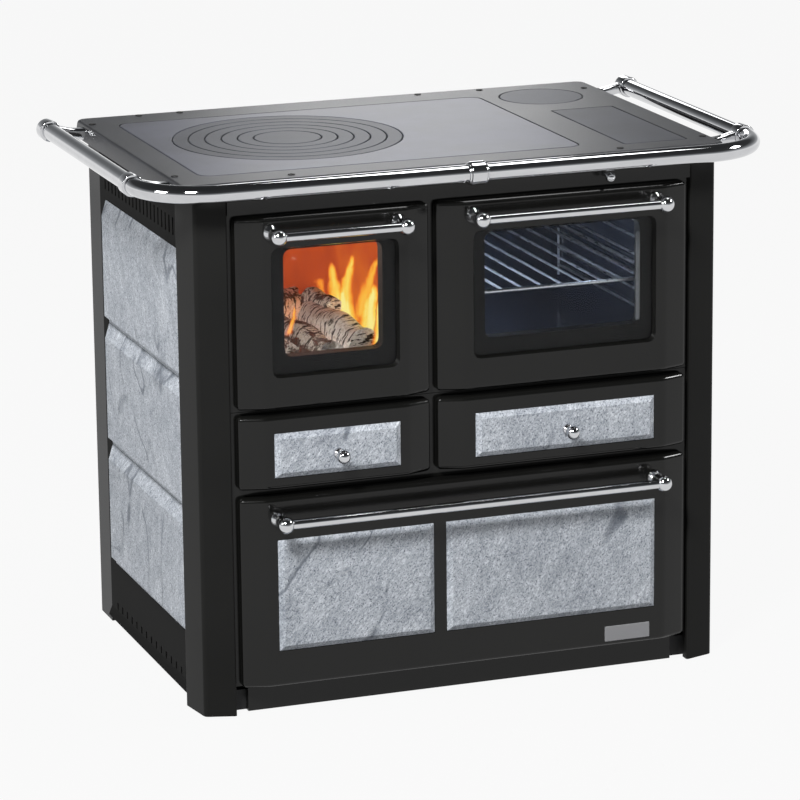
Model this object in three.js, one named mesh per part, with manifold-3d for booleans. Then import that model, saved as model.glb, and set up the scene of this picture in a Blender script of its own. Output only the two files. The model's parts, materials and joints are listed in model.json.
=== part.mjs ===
// A wood cookstove: a cast hob with nested rings and lids on a sheet-steel body, clad in
// soapstone, with two glazed drop-down doors, three drawers and a polished towel rail.
// Millimetres. +X is to the right, +Y to the back, +Z up; the front faces -Y, the floor is Z = 0.

import * as THREE from 'three';
import { mergeVertices } from 'three/addons/utils/BufferGeometryUtils.js';
import Module from 'manifold-3d';

const wasm = await Module();
wasm.setup();

// ------------------------------------------------------------------ driving sizes

// Clearances
const SEAT = 0.3; // between two pieces that rest against each other
const GROOVE = 1.2; // round each loose lid of the hob
const PLAY = 0.5; // round what turns or slides in a bore
const OVERCUT = 1; // how far a cutting body runs past the face it opens

// Hob
const HOB_WIDTH = 900;
const HOB_DEPTH = 600;
const HOB_HEIGHT = 850; // top face above the floor
const HOB_CORNER = 16;
const HOB_EDGE = 2; // broken top edge
const HOB_PLATE = 12; // thickness of the top
const HOB_SKIRT = 26; // whole height of the rim
const SKIRT_FLARE = 5; // the rim's foot stands out this far
const SKIRT_WALL = 5;
const HOB_OVERHANG = 20; // hob edge past the body, each side

// Lids in the hob
const LID_THICKNESS = 7;
const LID_LEDGE = 9; // ledge that carries a lid
const LID_PLUG = 4; // locating step under a lid
const LIFT_RADIUS = 7; // blind socket for the lifting handle
const LIFT_DEPTH = 4;
const PLATE_MARGIN_LEFT = 49; // cooking plate to the hob's edges
const PLATE_MARGIN_RIGHT = 220;
const PLATE_MARGIN_FRONT = 62;
const PLATE_MARGIN_BACK = 72;
const PLATE_CORNER = 22;
const PLATE_THICKNESS = 16;
const RING_FROM_LEFT = 272; // ring centre to the hob's left edge
const RING_FROM_FRONT = 312;
const RING_RADII = [184.5, 159, 132.5, 106, 80, 54]; // outer edge of each ring, then of the cover
const RING_THICKNESS = 12;
const RING_LIP = 6; // thickness of the lip that rests on the next ring's ledge
const RING_STEP = 6; // width of that lip
const FLUE_COVER_RADIUS = 69.5;
const FLUE_COVER_FROM_RIGHT = 120;
const FLUE_COVER_FROM_BACK = 112;
const SWEEP_COVER_WIDTH = 107; // rectangular lid over the flue way
const SWEEP_COVER_DEPTH = 310;
const SWEEP_COVER_CORNER = 4;
const SWEEP_COVER_FROM_RIGHT = 45;
const SWEEP_COVER_FROM_FRONT = 50;

// Body
const POST_SHEET = 3;
const POST_FLANGE = 12; // flange edge inside the body's side
const POST_STEP = 13; // front post outside the body's side, at its rear edge
const POST_LENGTH = 70; // rear edge of the front post behind the hob's front edge
const POST_RIDGE_OUT = 3; // the ridge outside the body's side
const POST_RIDGE_BACK = 2; // the ridge behind the hob's front edge
const POST_RIDGE_RADIUS = 9;
const POST_INNER = 46; // the post's inner edge inside the body's side
const POST_PROUD = 13; // that edge ahead of the hob's front edge
const POST_RETURN = 17; // fold at that edge
const REAR_POST_DEPTH = 64;
const REAR_POST_WIDTH = 30;
const SIDE_SHEET = 3;
const SIDE_FOOT = 13; // lower edge of the side panel
const SIDE_LIP_HEIGHT = 15; // turned-out lip along that edge
const SIDE_LIP_OUT = 6;
const SLOT_WIDTH = 6.5;
const UPPER_SLOT_PITCH = 20;
const UPPER_SLOT_HEIGHT = 28;
const UPPER_SLOT_DROP = 73; // top of the upper slots below the hob's top
const LOWER_SLOT_PITCH = 28;
const LOWER_SLOT_HEIGHT = 12;
const LOWER_SLOT_FOOT = 30;
const SLOT_MARGIN = 24; // slots end this far from the panel's edges

// Soapstone on the sides
const POCKET_SHEET = 2;
const POCKET_DEPTH = 11.3;
const POCKET_FOOT = 111;
const POCKET_DROP = 119; // top of the pocket below the hob's top
const POCKET_END = 32; // pocket's rear wall ahead of the rear post
const SIDE_STONES = ['lower', 'middle', 'upper'];
const SIDE_STONE_PROUD = 11;
const SIDE_STONE_STRIP = 14.5; // rebate along the foot
const SIDE_STONE_BEVEL = 22; // bevel along the top
const SIDE_STONE_END = 12; // bevel along the rear edge
const SIDE_STONE_EDGE = 3; // chamfer along the front edge
const STRIP_SLOPE = 2;

// Base
const PLINTH_HEIGHT = 45;
const PLINTH_INSET = 69; // plinth's end inside the body's side
const PLINTH_BACK = 4; // plinth behind the hob's front edge
const PLINTH_RETURN = 12;
const PAN_SHEET = 3;
const PAN_HEIGHT = 33;
const FOOT_PAD = 40;
const FOOT_PAD_INSET = 15;
const RUNNER_WIDTH = 30;
const RUNNER_INSET = 115; // outer face of a runner inside the pan's side

// Front frame
const FRAME_THICKNESS = 12;
const FRAME_GAP = 3; // between the frame and the fronts
const TOP_BAND = 22.7; // height of the proud band under the hob
const TOP_BAND_PROUD = 9;
const MOUTH_CORNER = 10;

// Door and drawer fronts
const FACE_PROUD = 30; // faces ahead of the hob's front edge
const FACE_DEPTH = 24;
const FACE_SIDE_GAP = 8.5; // to the posts
const CANT_WIDTH = 41; // slanting margin at each side
const CANT_DEPTH = 13;
const FACE_EDGE = 8; // rounding of the edges
const BEND_RADIUS = 30; // rounding where the margins begin
const FIRE_DOOR_WIDTH = 317;
const DOOR_GAP = 11; // between the two columns
const WOOD_DRAWER_HEIGHT = 308;
const WOOD_DRAWER_GAP = 13;
const SMALL_DRAWER_HEIGHT = 118;
const SMALL_DRAWER_GAP = 10;
const DOOR_TOP_GAP = 4;

// Windows
const RECESS_SIDE = 55; // window recess inside the fire door's sides
const OVEN_RECESS_SIDE = 57.5;
const RECESS_FOOT = 50.5;
const RECESS_TOP = 49;
const RECESS_CORNER = 12;
const RECESS_TAPER = 3;
const RECESS_FLARE = 0.9; // recess wider where it meets the face
const GLASS_LIP = 8; // glass behind the recess's edge
const GLASS_THICKNESS = 4;
const GLASS_BACK = 12.3; // back of the glass behind the face
const LINER_SIDE = 30; // door liner inside the door's edges
const LINER_FOOT = 26;
const LINER_TOP = 21;
const LINER_DEPTH = 21.4;
const LINER_WALL = 6;
const LINER_PLATE = 5;
const BORDER_SIDE = 23; // liner's window inside the recess
const BORDER_FOOT = 29;
const BORDER_TOP = 5;
const MOUTH_MARGIN = 6; // mouth in the front frame round the liner

// Hinges
const HINGE_BACK = 8.5; // axis behind the face
const HINGE_UP = 10; // axis above the door's foot
const HINGE_ROD_RADIUS = 3;
const HINGE_ROD_INSET = 36;
const LUG_RADIUS = 5.5;
const LUG_THICKNESS = 10;
const LUG_ROUND = 5.4; // rounding of a lug's outer corners
const LUG_INSET = 50;
const LUG_CLEARANCE = 1;
const DOOR_HEEL = 5; // chamfer that lets the foot swing past the frame

// Handles and knobs
const HANDLE_REACH = 40; // bar's axis ahead of the face
const HANDLE_RADIUS = 7.25;
const HANDLE_DROP = 23; // bar below a door's top edge
const HANDLE_BALL = 13;
// A post below its ball: shares of the ball's radius and of the reach.
const POST_PROFILE = [[1, 0], [1, 0.1], [0.82, 0.2], [0.58, 0.3], [0.52, 0.45]];
const POST_NECK = 0.55;
const WOOD_HANDLE_DROP = 33;
const WOOD_HANDLE_INSET = 58.5;
const KNOB_BALL = 11;
const KNOB_REACH = 25;
const KNOB_FOOT = 9;
// A knob below its ball: shares of the foot's radius and of the reach.
const KNOB_PROFILE = [[1, 0], [1, 0.12], [0.85, 0.22], [0.55, 0.3], [0.5, 0.52]];
const KNOB_NECK = 0.52;
const BALL_STEPS = 5;
const FIRE_KNOB_OFFSET = -1; // knob beside the middle of its drawer
const OVEN_KNOB_OFFSET = 1;
const KNOB_DROP = 67; // knob below the drawer's top edge

// Soapstone in the drawer fronts
const STONE_SIDE = 55;
const OVEN_STONE_SIDE = 59.5;
const STONE_FOOT = 19;
const STONE_TOP = 28;
const WOOD_STONE_SIDE = 57.5;
const WOOD_STONE_FOOT = 59.5;
const WOOD_STONE_TOP = 68.5;
const WOOD_STONE_GAP = 21; // between the two stones
const WOOD_STONE_SHIFT = 4; // that gap right of the gap between the columns
const STONE_BEVEL = 8.5;
const STONE_PROUD = 5;
const STONE_SUNK = 12;
const FRONT_SHELL = 4; // wall of a drawer front

// Drawer boxes
const BOX_WALL = 2;
const BOX_SIDE = 20.5; // box inside its front's ends
const WOOD_BOX_SIDE = 10.5;
const BOX_PLAY = 1.5;
const SMALL_BOX_HEIGHT = 94;
const SMALL_BOX_LENGTH = 374;
const WOOD_BOX_HEIGHT = 242;
const WOOD_BOX_LENGTH = 514;
const WOOD_BOX_FOOT = 13; // box's floor above the front's foot
const SMALL_BOX_FOOT = 10;
const WOOD_MOUTH_TOP = 13; // frame's opening below the front's top edge
const SMALL_MOUTH_TOP = 6;
const SHELF_SHEET = 3;

// Firebox
const SHELL_WALL = 4;
const SHELL_MARGIN = 3; // shell's inner faces outside the mouth
const FIREBOX_DEPTH = 480;
const FIREBOX_TOP = 50; // shell's top below the hob's top
const BRICK = 28;
const BRICK_TOP = 90; // lining's top below the hob's top
const GRATE_SIDE = 16; // grate to the lining
const GRATE_FRONT = 82; // grate behind the shell's front
const GRATE_LENGTH = 266;
const GRATE_THICKNESS = 10;
const GRATE_LEDGE = 10;
const GRATE_SLOT = 8;
const GRATE_BAR = 8;
const GRATE_RIM = 14;

// Oven
const OVEN_WALL = 2;
const OVEN_DEPTH = 466;
const RUNNER_SIDE = 7; // rack runner's width
const RACK_RUNNER = 3;
const RACK_HEIGHT = 120; // runner above the oven's floor
const RACK_WIRE = 2.2;
const RACK_FRAME = 3.2;
const RACK_PITCH = 34;
const RACK_INSET = 12; // rack inside the oven's mouth and rear wall

// Flue
const FLUE_RADIUS = 69;
const FLUE_WALL = 3;
const FLUE_FLANGE = 16;
const FLUE_FLANGE_THICKNESS = 4;
const FLUE_LENGTH = 52;
const FLUE_INSIDE = 15; // spigot ahead of the body's rear
const FLUE_FROM_SIDE = 130;
const FLUE_DROP = 125; // axis below the hob's top
const REAR_SHEET = 2.5;

// Rail
const RAIL_RADIUS = 14;
const RAIL_OUT = 61; // axis outside the hob's side
const RAIL_AHEAD = 51; // axis ahead of the hob's front
const RAIL_DROP = 5; // axis below the hob's top
const RAIL_BEND = 109;
const RAIL_INSERT = 12.5; // the front tube's straight end inside its socket
const RAIL_REAR = 38; // rear end ahead of the hob's rear edge
const SOCKET_RADIUS = 17.5;
const SOCKET_LENGTH = 25;
const COLLAR_RADIUS = 18.5;
const COLLAR_LENGTH = 24;
const COLLAR_BEAD = 4;
const COLLAR_BEAD_RADIUS = 16.5;
const COLLAR_WAIST = 15; // radius between a bead and the barrel
const COLLAR_EASE = 2; // slope of the barrel's ends
const TURNED_EASE = 1; // chamfer of beads and sockets
const COLLAR_CENTRE = 8;
const ARM_WIDTH = 22;
const ARM_HEIGHT = 20;
const ARM_ROUND = 0.3; // corner radius as a share of the height
const ARM_WAIST = 0.8; // width between the ends as a share of the width
const ARM_STATIONS = [0.33, 0.6]; // places between the skirt and the rail's axis
const ARM_DROP = 15; // arm's middle below the hob's top, at the skirt
const ARM_REAR_INSET = 54; // rear arm ahead of the hob's rear edge

// Damper
const DAMPER_FROM_RIGHT = 214;
const DAMPER_DROP = 32;
const DAMPER_RADIUS = 3;
const DAMPER_KNOB = 8;
const DAMPER_REACH = 40; // knob's centre ahead of the hob's front edge
const DAMPER_LENGTH = 220;

// Facets
const RING_SIDES = 28;
const TUBE_SIDES = 16;
const TURNED_SIDES = 12;
const SMALL_SIDES = 12;
const CORNER_STEPS = 3;
const BEND_STEPS = 6;
const WELD = 1e-4; // vertices closer than this are one

// ------------------------------------------------------------------ placed sizes

const LEFT = -HOB_WIDTH / 2;
const RIGHT = HOB_WIDTH / 2;
const FRONT = -HOB_DEPTH / 2;
const BACK = HOB_DEPTH / 2;
const SIDE = RIGHT - HOB_OVERHANG;
const SKIRT_BASE = HOB_HEIGHT - HOB_SKIRT;
const PLATE_BASE = HOB_HEIGHT - HOB_PLATE;
const BODY_TOP = SKIRT_BASE - SEAT;

const POST_REAR = FRONT + POST_LENGTH;
const REAR_POST_FRONT = BACK - REAR_POST_DEPTH;
const FLANGE_EDGE = SIDE - POST_FLANGE;
const FRAME_HALF = SIDE - POST_INNER - SEAT;

const FACE = FRONT - FACE_PROUD;
const FACE_REAR = FACE + FACE_DEPTH;
const FRAME_FRONT = FACE_REAR + FRAME_GAP;
const FRAME_BACK = FRAME_FRONT + FRAME_THICKNESS;
const FRAME_BASE = PLINTH_HEIGHT + SEAT;

// Outlines of the five fronts, as left, right, foot and top.
const FRONT_HALF = SIDE - POST_INNER - FACE_SIDE_GAP;
const COLUMN_SPLIT = FIRE_DOOR_WIDTH - FRONT_HALF;
const WOOD_TOP = PLINTH_HEIGHT + WOOD_DRAWER_HEIGHT;
const SMALL_BASE = WOOD_TOP + WOOD_DRAWER_GAP;
const SMALL_TOP = SMALL_BASE + SMALL_DRAWER_HEIGHT;
const DOOR_BASE = SMALL_TOP + SMALL_DRAWER_GAP;
const DOOR_TOP = BODY_TOP - TOP_BAND - DOOR_TOP_GAP;
const FRAME_SPLIT = (SMALL_TOP + DOOR_BASE) / 2;
const WOOD = span(-FRONT_HALF, FRONT_HALF, PLINTH_HEIGHT, WOOD_TOP);
const ASH = span(-FRONT_HALF, COLUMN_SPLIT, SMALL_BASE, SMALL_TOP);
const WARMING = span(COLUMN_SPLIT + DOOR_GAP, FRONT_HALF, SMALL_BASE, SMALL_TOP);
const FIRE = span(ASH.left, ASH.right, DOOR_BASE, DOOR_TOP);
const OVEN = span(WARMING.left, WARMING.right, DOOR_BASE, DOOR_TOP);

const GLASS_FRONT = FACE + GLASS_BACK - GLASS_THICKNESS;
const LINER_FRONT = FACE + GLASS_BACK + SEAT;
const LINER_BACK = LINER_FRONT + LINER_DEPTH;
const FIRE_RECESS = inset(FIRE, RECESS_SIDE, RECESS_FOOT, RECESS_TOP);
const OVEN_RECESS = inset(OVEN, OVEN_RECESS_SIDE, RECESS_FOOT, RECESS_TOP);
const FIRE_LINER = inset(FIRE, LINER_SIDE, LINER_FOOT, LINER_TOP);
const OVEN_LINER = inset(OVEN, LINER_SIDE, LINER_FOOT, LINER_TOP);
const FIRE_MOUTH = grown(FIRE_LINER, MOUTH_MARGIN);
const OVEN_MOUTH = grown(OVEN_LINER, MOUTH_MARGIN);

const HINGE_Y = FACE + HINGE_BACK;
const HINGE_Z = DOOR_BASE + HINGE_UP;

const ASH_BOX = drawerBox(ASH, BOX_SIDE, SMALL_BOX_FOOT, SMALL_BOX_HEIGHT);
const WARMING_BOX = drawerBox(WARMING, BOX_SIDE, SMALL_BOX_FOOT, SMALL_BOX_HEIGHT);
const WOOD_BOX = drawerBox(WOOD, WOOD_BOX_SIDE, WOOD_BOX_FOOT, WOOD_BOX_HEIGHT);

const FLUE_X = SIDE - FLUE_FROM_SIDE;
const FLUE_Z = HOB_HEIGHT - FLUE_DROP;
const RING_X = LEFT + RING_FROM_LEFT;
const RING_Y = FRONT + RING_FROM_FRONT;
const DAMPER_X = RIGHT - DAMPER_FROM_RIGHT;
const DAMPER_Z = HOB_HEIGHT - DAMPER_DROP;

const RAIL_X = RIGHT + RAIL_OUT;
const RAIL_Y = FRONT - RAIL_AHEAD;
const RAIL_Z = HOB_HEIGHT - RAIL_DROP;
const RAIL_BEND_END = RAIL_Y + RAIL_BEND;
const RAIL_JOINT = RAIL_BEND_END + RAIL_INSERT;

// ------------------------------------------------------------------ flat outlines

// A rectangle in the plane of the front.
function span(left, right, foot, top) {
  return { left, right, foot, top };
}

function inset(area, side, foot, top) {
  return span(area.left + side, area.right - side, area.foot + foot, area.top - top);
}

function grown(area, distance) {
  return inset(area, -distance, -distance, -distance);
}

function drawerBox(front, side, foot, height) {
  const base = front.foot + foot;
  return span(front.left + side, front.right - side, base, base + height);
}

function rectangle(x0, x1, y0, y1) {
  return [[x0, y0], [x1, y0], [x1, y1], [x0, y1]];
}

function circle(x, y, radius, sides) {
  return Array.from({ length: sides }, (_, i) => {
    const angle = (i / sides) * 2 * Math.PI;
    return [x + radius * Math.sin(angle), y + radius * Math.cos(angle)];
  });
}

function direction(from, to) {
  const length = Math.hypot(to[0] - from[0], to[1] - from[1]);
  return [(to[0] - from[0]) / length, (to[1] - from[1]) / length];
}

// An outline with its corners rounded, by one radius or by one for each corner.
function rounded(corners, radius, steps = CORNER_STEPS) {
  return corners.flatMap((corner, i) => {
    const r = Array.isArray(radius) ? radius[i] : radius;
    if (!r) return [corner];
    const a = direction(corner, corners.at(i - 1));
    const b = direction(corner, corners[(i + 1) % corners.length]);
    const half = Math.acos(a[0] * b[0] + a[1] * b[1]) / 2;
    const reach = r / Math.tan(half);
    const middle = direction([0, 0], [a[0] + b[0], a[1] + b[1]]);
    const centre = [
      corner[0] + (middle[0] * r) / Math.sin(half),
      corner[1] + (middle[1] * r) / Math.sin(half),
    ];
    const first = Math.atan2(corner[1] + a[1] * reach - centre[1], corner[0] + a[0] * reach - centre[0]);
    const last = Math.atan2(corner[1] + b[1] * reach - centre[1], corner[0] + b[0] * reach - centre[0]);
    const sweep = Math.atan2(Math.sin(last - first), Math.cos(last - first));
    return Array.from({ length: steps + 1 }, (_, step) => {
      const angle = first + (sweep * step) / steps;
      return [centre[0] + r * Math.cos(angle), centre[1] + r * Math.sin(angle)];
    });
  });
}

function roundedRectangle(x0, x1, y0, y1, radius) {
  return rounded(rectangle(x0, x1, y0, y1), radius);
}

function roundedSpan(area, radius) {
  return roundedRectangle(area.left, area.right, area.foot, area.top, radius);
}

// The line that runs beside an open line of points, at a distance to its left.
function beside(line, distance) {
  return line.map((point, i) => {
    const ahead = i < line.length - 1 ? direction(point, line[i + 1]) : direction(line[i - 1], point);
    const behind = i > 0 ? direction(line[i - 1], point) : ahead;
    const scale = distance / (1 + ahead[0] * behind[0] + ahead[1] * behind[1]);
    return [
      point[0] - (ahead[1] + behind[1]) * scale,
      point[1] + (ahead[0] + behind[0]) * scale,
    ];
  });
}

// The cut edge of a sheet bent along a line, its thickness to the line's left.
function folded(line, thickness) {
  return [...line, ...beside(line, thickness).reverse()];
}

function mirrored(outline, side) {
  return outline.map(([x, y]) => [x * side, y]);
}

// ------------------------------------------------------------------ solids

const X = new THREE.Vector3(1, 0, 0);
const Y = new THREE.Vector3(0, 1, 0);
const Z = new THREE.Vector3(0, 0, 1);
const DRAWN_ALONG = { x: [Y, Z, X], y: [X, Z, Y], z: [X, Y, Z] };
const TURNED_ABOUT = { x: [Y, X, Z], y: [X, Y, Z], z: [X, Z, Y] };

// A closed geometry as a solid, with shared vertices merged and its faces outward.
function solid(geometry) {
  const bare = new THREE.BufferGeometry();
  bare.setAttribute('position', geometry.getAttribute('position'));
  bare.setIndex(geometry.getIndex());
  const merged = mergeVertices(bare, WELD);
  const at = (i) => new THREE.Vector3().fromBufferAttribute(merged.getAttribute('position'), i);
  const corners = merged.getIndex().array;
  const faces = [];
  let volume = 0;
  for (let i = 0; i < corners.length; i += 3) {
    const [a, b, c] = corners.slice(i, i + 3);
    if (a === b || b === c || c === a) continue;
    volume += at(a).dot(at(b).cross(at(c)));
    faces.push([a, b, c]);
  }
  const outward = volume > 0 ? faces : faces.map(([a, b, c]) => [a, c, b]);
  const mesh = new wasm.Mesh({
    numProp: 3,
    vertProperties: merged.getAttribute('position').array,
    triVerts: new Uint32Array(outward.flat()),
  });
  return new wasm.Manifold(mesh);
}

function join(...pieces) {
  return pieces.reduce((whole, piece) => whole.add(piece));
}

function cut(whole, ...pieces) {
  return pieces.reduce((rest, piece) => rest.subtract(piece), whole);
}

function block(x0, x1, y0, y1, z0, z1) {
  const geometry = new THREE.BoxGeometry(x1 - x0, y1 - y0, z1 - z0);
  return solid(geometry.translate((x0 + x1) / 2, (y0 + y1) / 2, (z0 + z1) / 2));
}

// An outline drawn out along an axis; its own two coordinates are the other two axes in order.
function prism(outline, axis, from, to) {
  const shape = new THREE.Shape(outline.map(([a, b]) => new THREE.Vector2(a, b)));
  const geometry = new THREE.ExtrudeGeometry(shape, { depth: to - from, bevelEnabled: false });
  geometry.translate(0, 0, from);
  return solid(geometry.applyMatrix4(new THREE.Matrix4().makeBasis(...DRAWN_ALONG[axis])));
}

// The same with holes right through it.
function piercedPrism(outline, axis, from, to, holes) {
  const cutters = holes.map((hole) => prism(hole, axis, from - OVERCUT, to + OVERCUT));
  return cut(prism(outline, axis, from, to), ...cutters);
}

// A profile of [radius, place along the axis] turned about an axis through a point.
function turned(profile, axis, centre, sides) {
  const geometry = new THREE.LatheGeometry(profile.map(([r, d]) => new THREE.Vector2(r, d)), sides);
  geometry.applyMatrix4(new THREE.Matrix4().makeBasis(...TURNED_ABOUT[axis]));
  return solid(geometry.translate(...centre));
}

function cylinder(radius, from, to, axis, centre, sides) {
  return turned([[0, from], [radius, from], [radius, to], [0, to]], axis, centre, sides);
}

// A closed skin over rings of equally many points, each ring convex.
function loft(rings) {
  const count = rings[0].length;
  const last = (rings.length - 1) * count;
  const index = [];
  for (let start = 0; start < last; start += count) {
    for (let i = 0; i < count; i += 1) {
      const a = start + i;
      const b = start + ((i + 1) % count);
      index.push(a, b, b + count, a, b + count, a + count);
    }
  }
  for (let i = 1; i < count - 1; i += 1) {
    index.push(0, i + 1, i, last, last + i, last + i + 1);
  }
  const geometry = new THREE.BufferGeometry();
  geometry.setAttribute('position', new THREE.Float32BufferAttribute(rings.flat(2), 3));
  geometry.setIndex(index);
  return solid(geometry);
}

const levelAt = (z) => ([x, y]) => [x, y, z];
const uprightAt = (y) => ([x, z]) => [x, y, z];

// A route whose stations stay on its own points.
class Route extends THREE.Curve {
  constructor(points) {
    super();
    this.points = points.map((point) => new THREE.Vector3(...point));
  }

  getPoint(t) {
    const place = t * (this.points.length - 1);
    const i = Math.min(Math.floor(place), this.points.length - 2);
    return this.points[i].clone().lerp(this.points[i + 1], place - i);
  }

  getUtoTmapping(u) {
    return u;
  }
}

function rod(points, radius, sides) {
  const section = new THREE.Shape(circle(0, 0, radius, sides).map(([a, b]) => new THREE.Vector2(a, b)));
  const along = { steps: points.length - 1, extrudePath: new Route(points), bevelEnabled: false };
  return solid(new THREE.ExtrudeGeometry(section, along));
}

// Points of a ball's profile from where it leaves a neck to its pole.
function ballProfile(centre, radius, neck, steps) {
  const start = Math.asin(neck / radius);
  return Array.from({ length: steps + 1 }, (_, step) => {
    const angle = start + ((Math.PI - start) * step) / steps;
    const r = step === steps ? 0 : radius * Math.sin(angle);
    return [r, centre - radius * Math.cos(angle)];
  });
}

// ------------------------------------------------------------------ hob

function hobOutline(grow) {
  return roundedRectangle(LEFT - grow, RIGHT + grow, FRONT - grow, BACK + grow, HOB_CORNER + grow);
}

function plateOutline(grow) {
  return roundedRectangle(
    LEFT + PLATE_MARGIN_LEFT - grow,
    RIGHT - PLATE_MARGIN_RIGHT + grow,
    FRONT + PLATE_MARGIN_FRONT - grow,
    BACK - PLATE_MARGIN_BACK + grow,
    PLATE_CORNER + grow,
  );
}

function flueCoverOutline(grow) {
  const x = RIGHT - FLUE_COVER_FROM_RIGHT;
  const y = BACK - FLUE_COVER_FROM_BACK;
  return circle(x, y, FLUE_COVER_RADIUS + grow, RING_SIDES);
}

function sweepCoverOutline(grow) {
  const right = RIGHT - SWEEP_COVER_FROM_RIGHT;
  const front = FRONT + SWEEP_COVER_FROM_FRONT;
  return roundedRectangle(
    right - SWEEP_COVER_WIDTH - grow,
    right + grow,
    front - grow,
    front + SWEEP_COVER_DEPTH + grow,
    Math.max(SWEEP_COVER_CORNER + grow, 1),
  );
}

// The stepped opening that a lid drops into: a recess to its thickness over a narrower hole.
function lidSeat(outline) {
  const ledge = HOB_HEIGHT - LID_THICKNESS - SEAT;
  const above = HOB_HEIGHT + OVERCUT;
  return join(
    prism(outline(GROOVE), 'z', ledge, above),
    prism(outline(GROOVE - LID_LEDGE), 'z', PLATE_BASE - OVERCUT, above),
  );
}

function hobFrame() {
  const edge = HOB_HEIGHT - HOB_EDGE;
  const outside = loft([
    hobOutline(SKIRT_FLARE).map(levelAt(SKIRT_BASE)),
    hobOutline((SKIRT_FLARE * HOB_EDGE) / HOB_SKIRT).map(levelAt(edge)),
    hobOutline(-HOB_EDGE).map(levelAt(HOB_HEIGHT)),
  ]);
  const underside = prism(hobOutline(-SKIRT_WALL), 'z', SKIRT_BASE - OVERCUT, PLATE_BASE);
  return cut(
    outside,
    underside,
    lidSeat(plateOutline),
    lidSeat(flueCoverOutline),
    lidSeat(sweepCoverOutline),
  );
}

function cookingPlate() {
  const above = HOB_HEIGHT + OVERCUT;
  const below = HOB_HEIGHT - PLATE_THICKNESS;
  const mouth = RING_RADII[0] + GROOVE;
  const plate = join(
    prism(plateOutline(0), 'z', HOB_HEIGHT - LID_THICKNESS, HOB_HEIGHT),
    prism(plateOutline(-LID_LEDGE), 'z', below, HOB_HEIGHT - OVERCUT),
  );
  return cut(
    plate,
    prism(circle(RING_X, RING_Y, mouth, RING_SIDES), 'z', HOB_HEIGHT - RING_LIP - SEAT, above),
    prism(circle(RING_X, RING_Y, mouth - RING_STEP, RING_SIDES), 'z', below - OVERCUT, above),
  );
}

// One of the nested rings: a lip outside that rests on the ledge of the next ring out.
function hobRing(outer, inner) {
  const hole = inner + GROOVE;
  const ledge = -RING_LIP - SEAT;
  const profile = [
    [outer, 0],
    [outer, -RING_LIP],
    [outer - RING_STEP, -RING_LIP],
    [outer - RING_STEP, -RING_THICKNESS],
    [hole - RING_STEP, -RING_THICKNESS],
    [hole - RING_STEP, ledge],
    [hole, ledge],
    [hole, 0],
    [outer, 0],
  ];
  return turned(profile, 'z', [RING_X, RING_Y, HOB_HEIGHT], RING_SIDES);
}

// A round lid with a blind lifting socket and a step under its edge.
function roundLid(radius, lip, step, thickness, centre) {
  const profile = [
    [0, -LIFT_DEPTH],
    [LIFT_RADIUS, -LIFT_DEPTH],
    [LIFT_RADIUS, 0],
    [radius, 0],
    [radius, -lip],
    [radius - step, -lip],
    [radius - step, -thickness],
    [0, -thickness],
  ];
  return turned(profile, 'z', centre, RING_SIDES);
}

function ringCover() {
  const centre = [RING_X, RING_Y, HOB_HEIGHT];
  return roundLid(RING_RADII.at(-1), RING_LIP, RING_STEP, RING_THICKNESS, centre);
}

function flueCover() {
  const centre = [RIGHT - FLUE_COVER_FROM_RIGHT, BACK - FLUE_COVER_FROM_BACK, HOB_HEIGHT];
  return roundLid(FLUE_COVER_RADIUS, LID_THICKNESS, LID_LEDGE, LID_THICKNESS + LID_PLUG, centre);
}

function sweepCover() {
  const under = HOB_HEIGHT - LID_THICKNESS;
  return join(
    prism(sweepCoverOutline(0), 'z', under, HOB_HEIGHT),
    prism(sweepCoverOutline(-LID_LEDGE), 'z', under - LID_PLUG, HOB_HEIGHT - OVERCUT),
  );
}

// ------------------------------------------------------------------ body

// A folded corner post: flange, step out to the side, ridge, slanting front and return.
function frontPost(side) {
  const line = [
    [FLANGE_EDGE, POST_REAR],
    [SIDE + POST_STEP, POST_REAR],
    [SIDE + POST_RIDGE_OUT, FRONT + POST_RIDGE_BACK],
    [SIDE - POST_INNER, FRONT - POST_PROUD],
    [SIDE - POST_INNER, FRONT - POST_PROUD + POST_RETURN],
  ];
  const bent = rounded(line, [0, POST_SHEET, POST_RIDGE_RADIUS, POST_SHEET, 0], 3);
  return prism(mirrored(folded(bent, -POST_SHEET), side), 'z', 0, BODY_TOP);
}

// A corner fold of the rear panel.
function rearCorner(side) {
  const line = [
    [FLANGE_EDGE, REAR_POST_FRONT],
    [SIDE, REAR_POST_FRONT],
    [SIDE, BACK],
    [SIDE - REAR_POST_WIDTH, BACK],
  ];
  return prism(mirrored(folded(line, POST_SHEET), side), 'z', 0, BODY_TOP);
}

const PANEL_FRONT = POST_REAR + SEAT;
const PANEL_REAR = REAR_POST_FRONT - SEAT;
const PANEL_TOP = PLATE_BASE - SEAT;
const POCKET_REAR = REAR_POST_FRONT - POCKET_END;
const POCKET_TOP = HOB_HEIGHT - POCKET_DROP;
const POCKET_BACK = SIDE - POCKET_DEPTH;

// A row of upright slots through a side panel, centred on it.
function slots(pitch, foot, height, x0, x1) {
  const length = PANEL_REAR - PANEL_FRONT - 2 * SLOT_MARGIN;
  const count = Math.floor(length / pitch) + 1;
  const first = (PANEL_FRONT + PANEL_REAR - (count - 1) * pitch - SLOT_WIDTH) / 2;
  return Array.from({ length: count }, (_, i) => {
    const y = first + i * pitch;
    return block(x0, x1, y, y + SLOT_WIDTH, foot, foot + height);
  });
}

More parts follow.
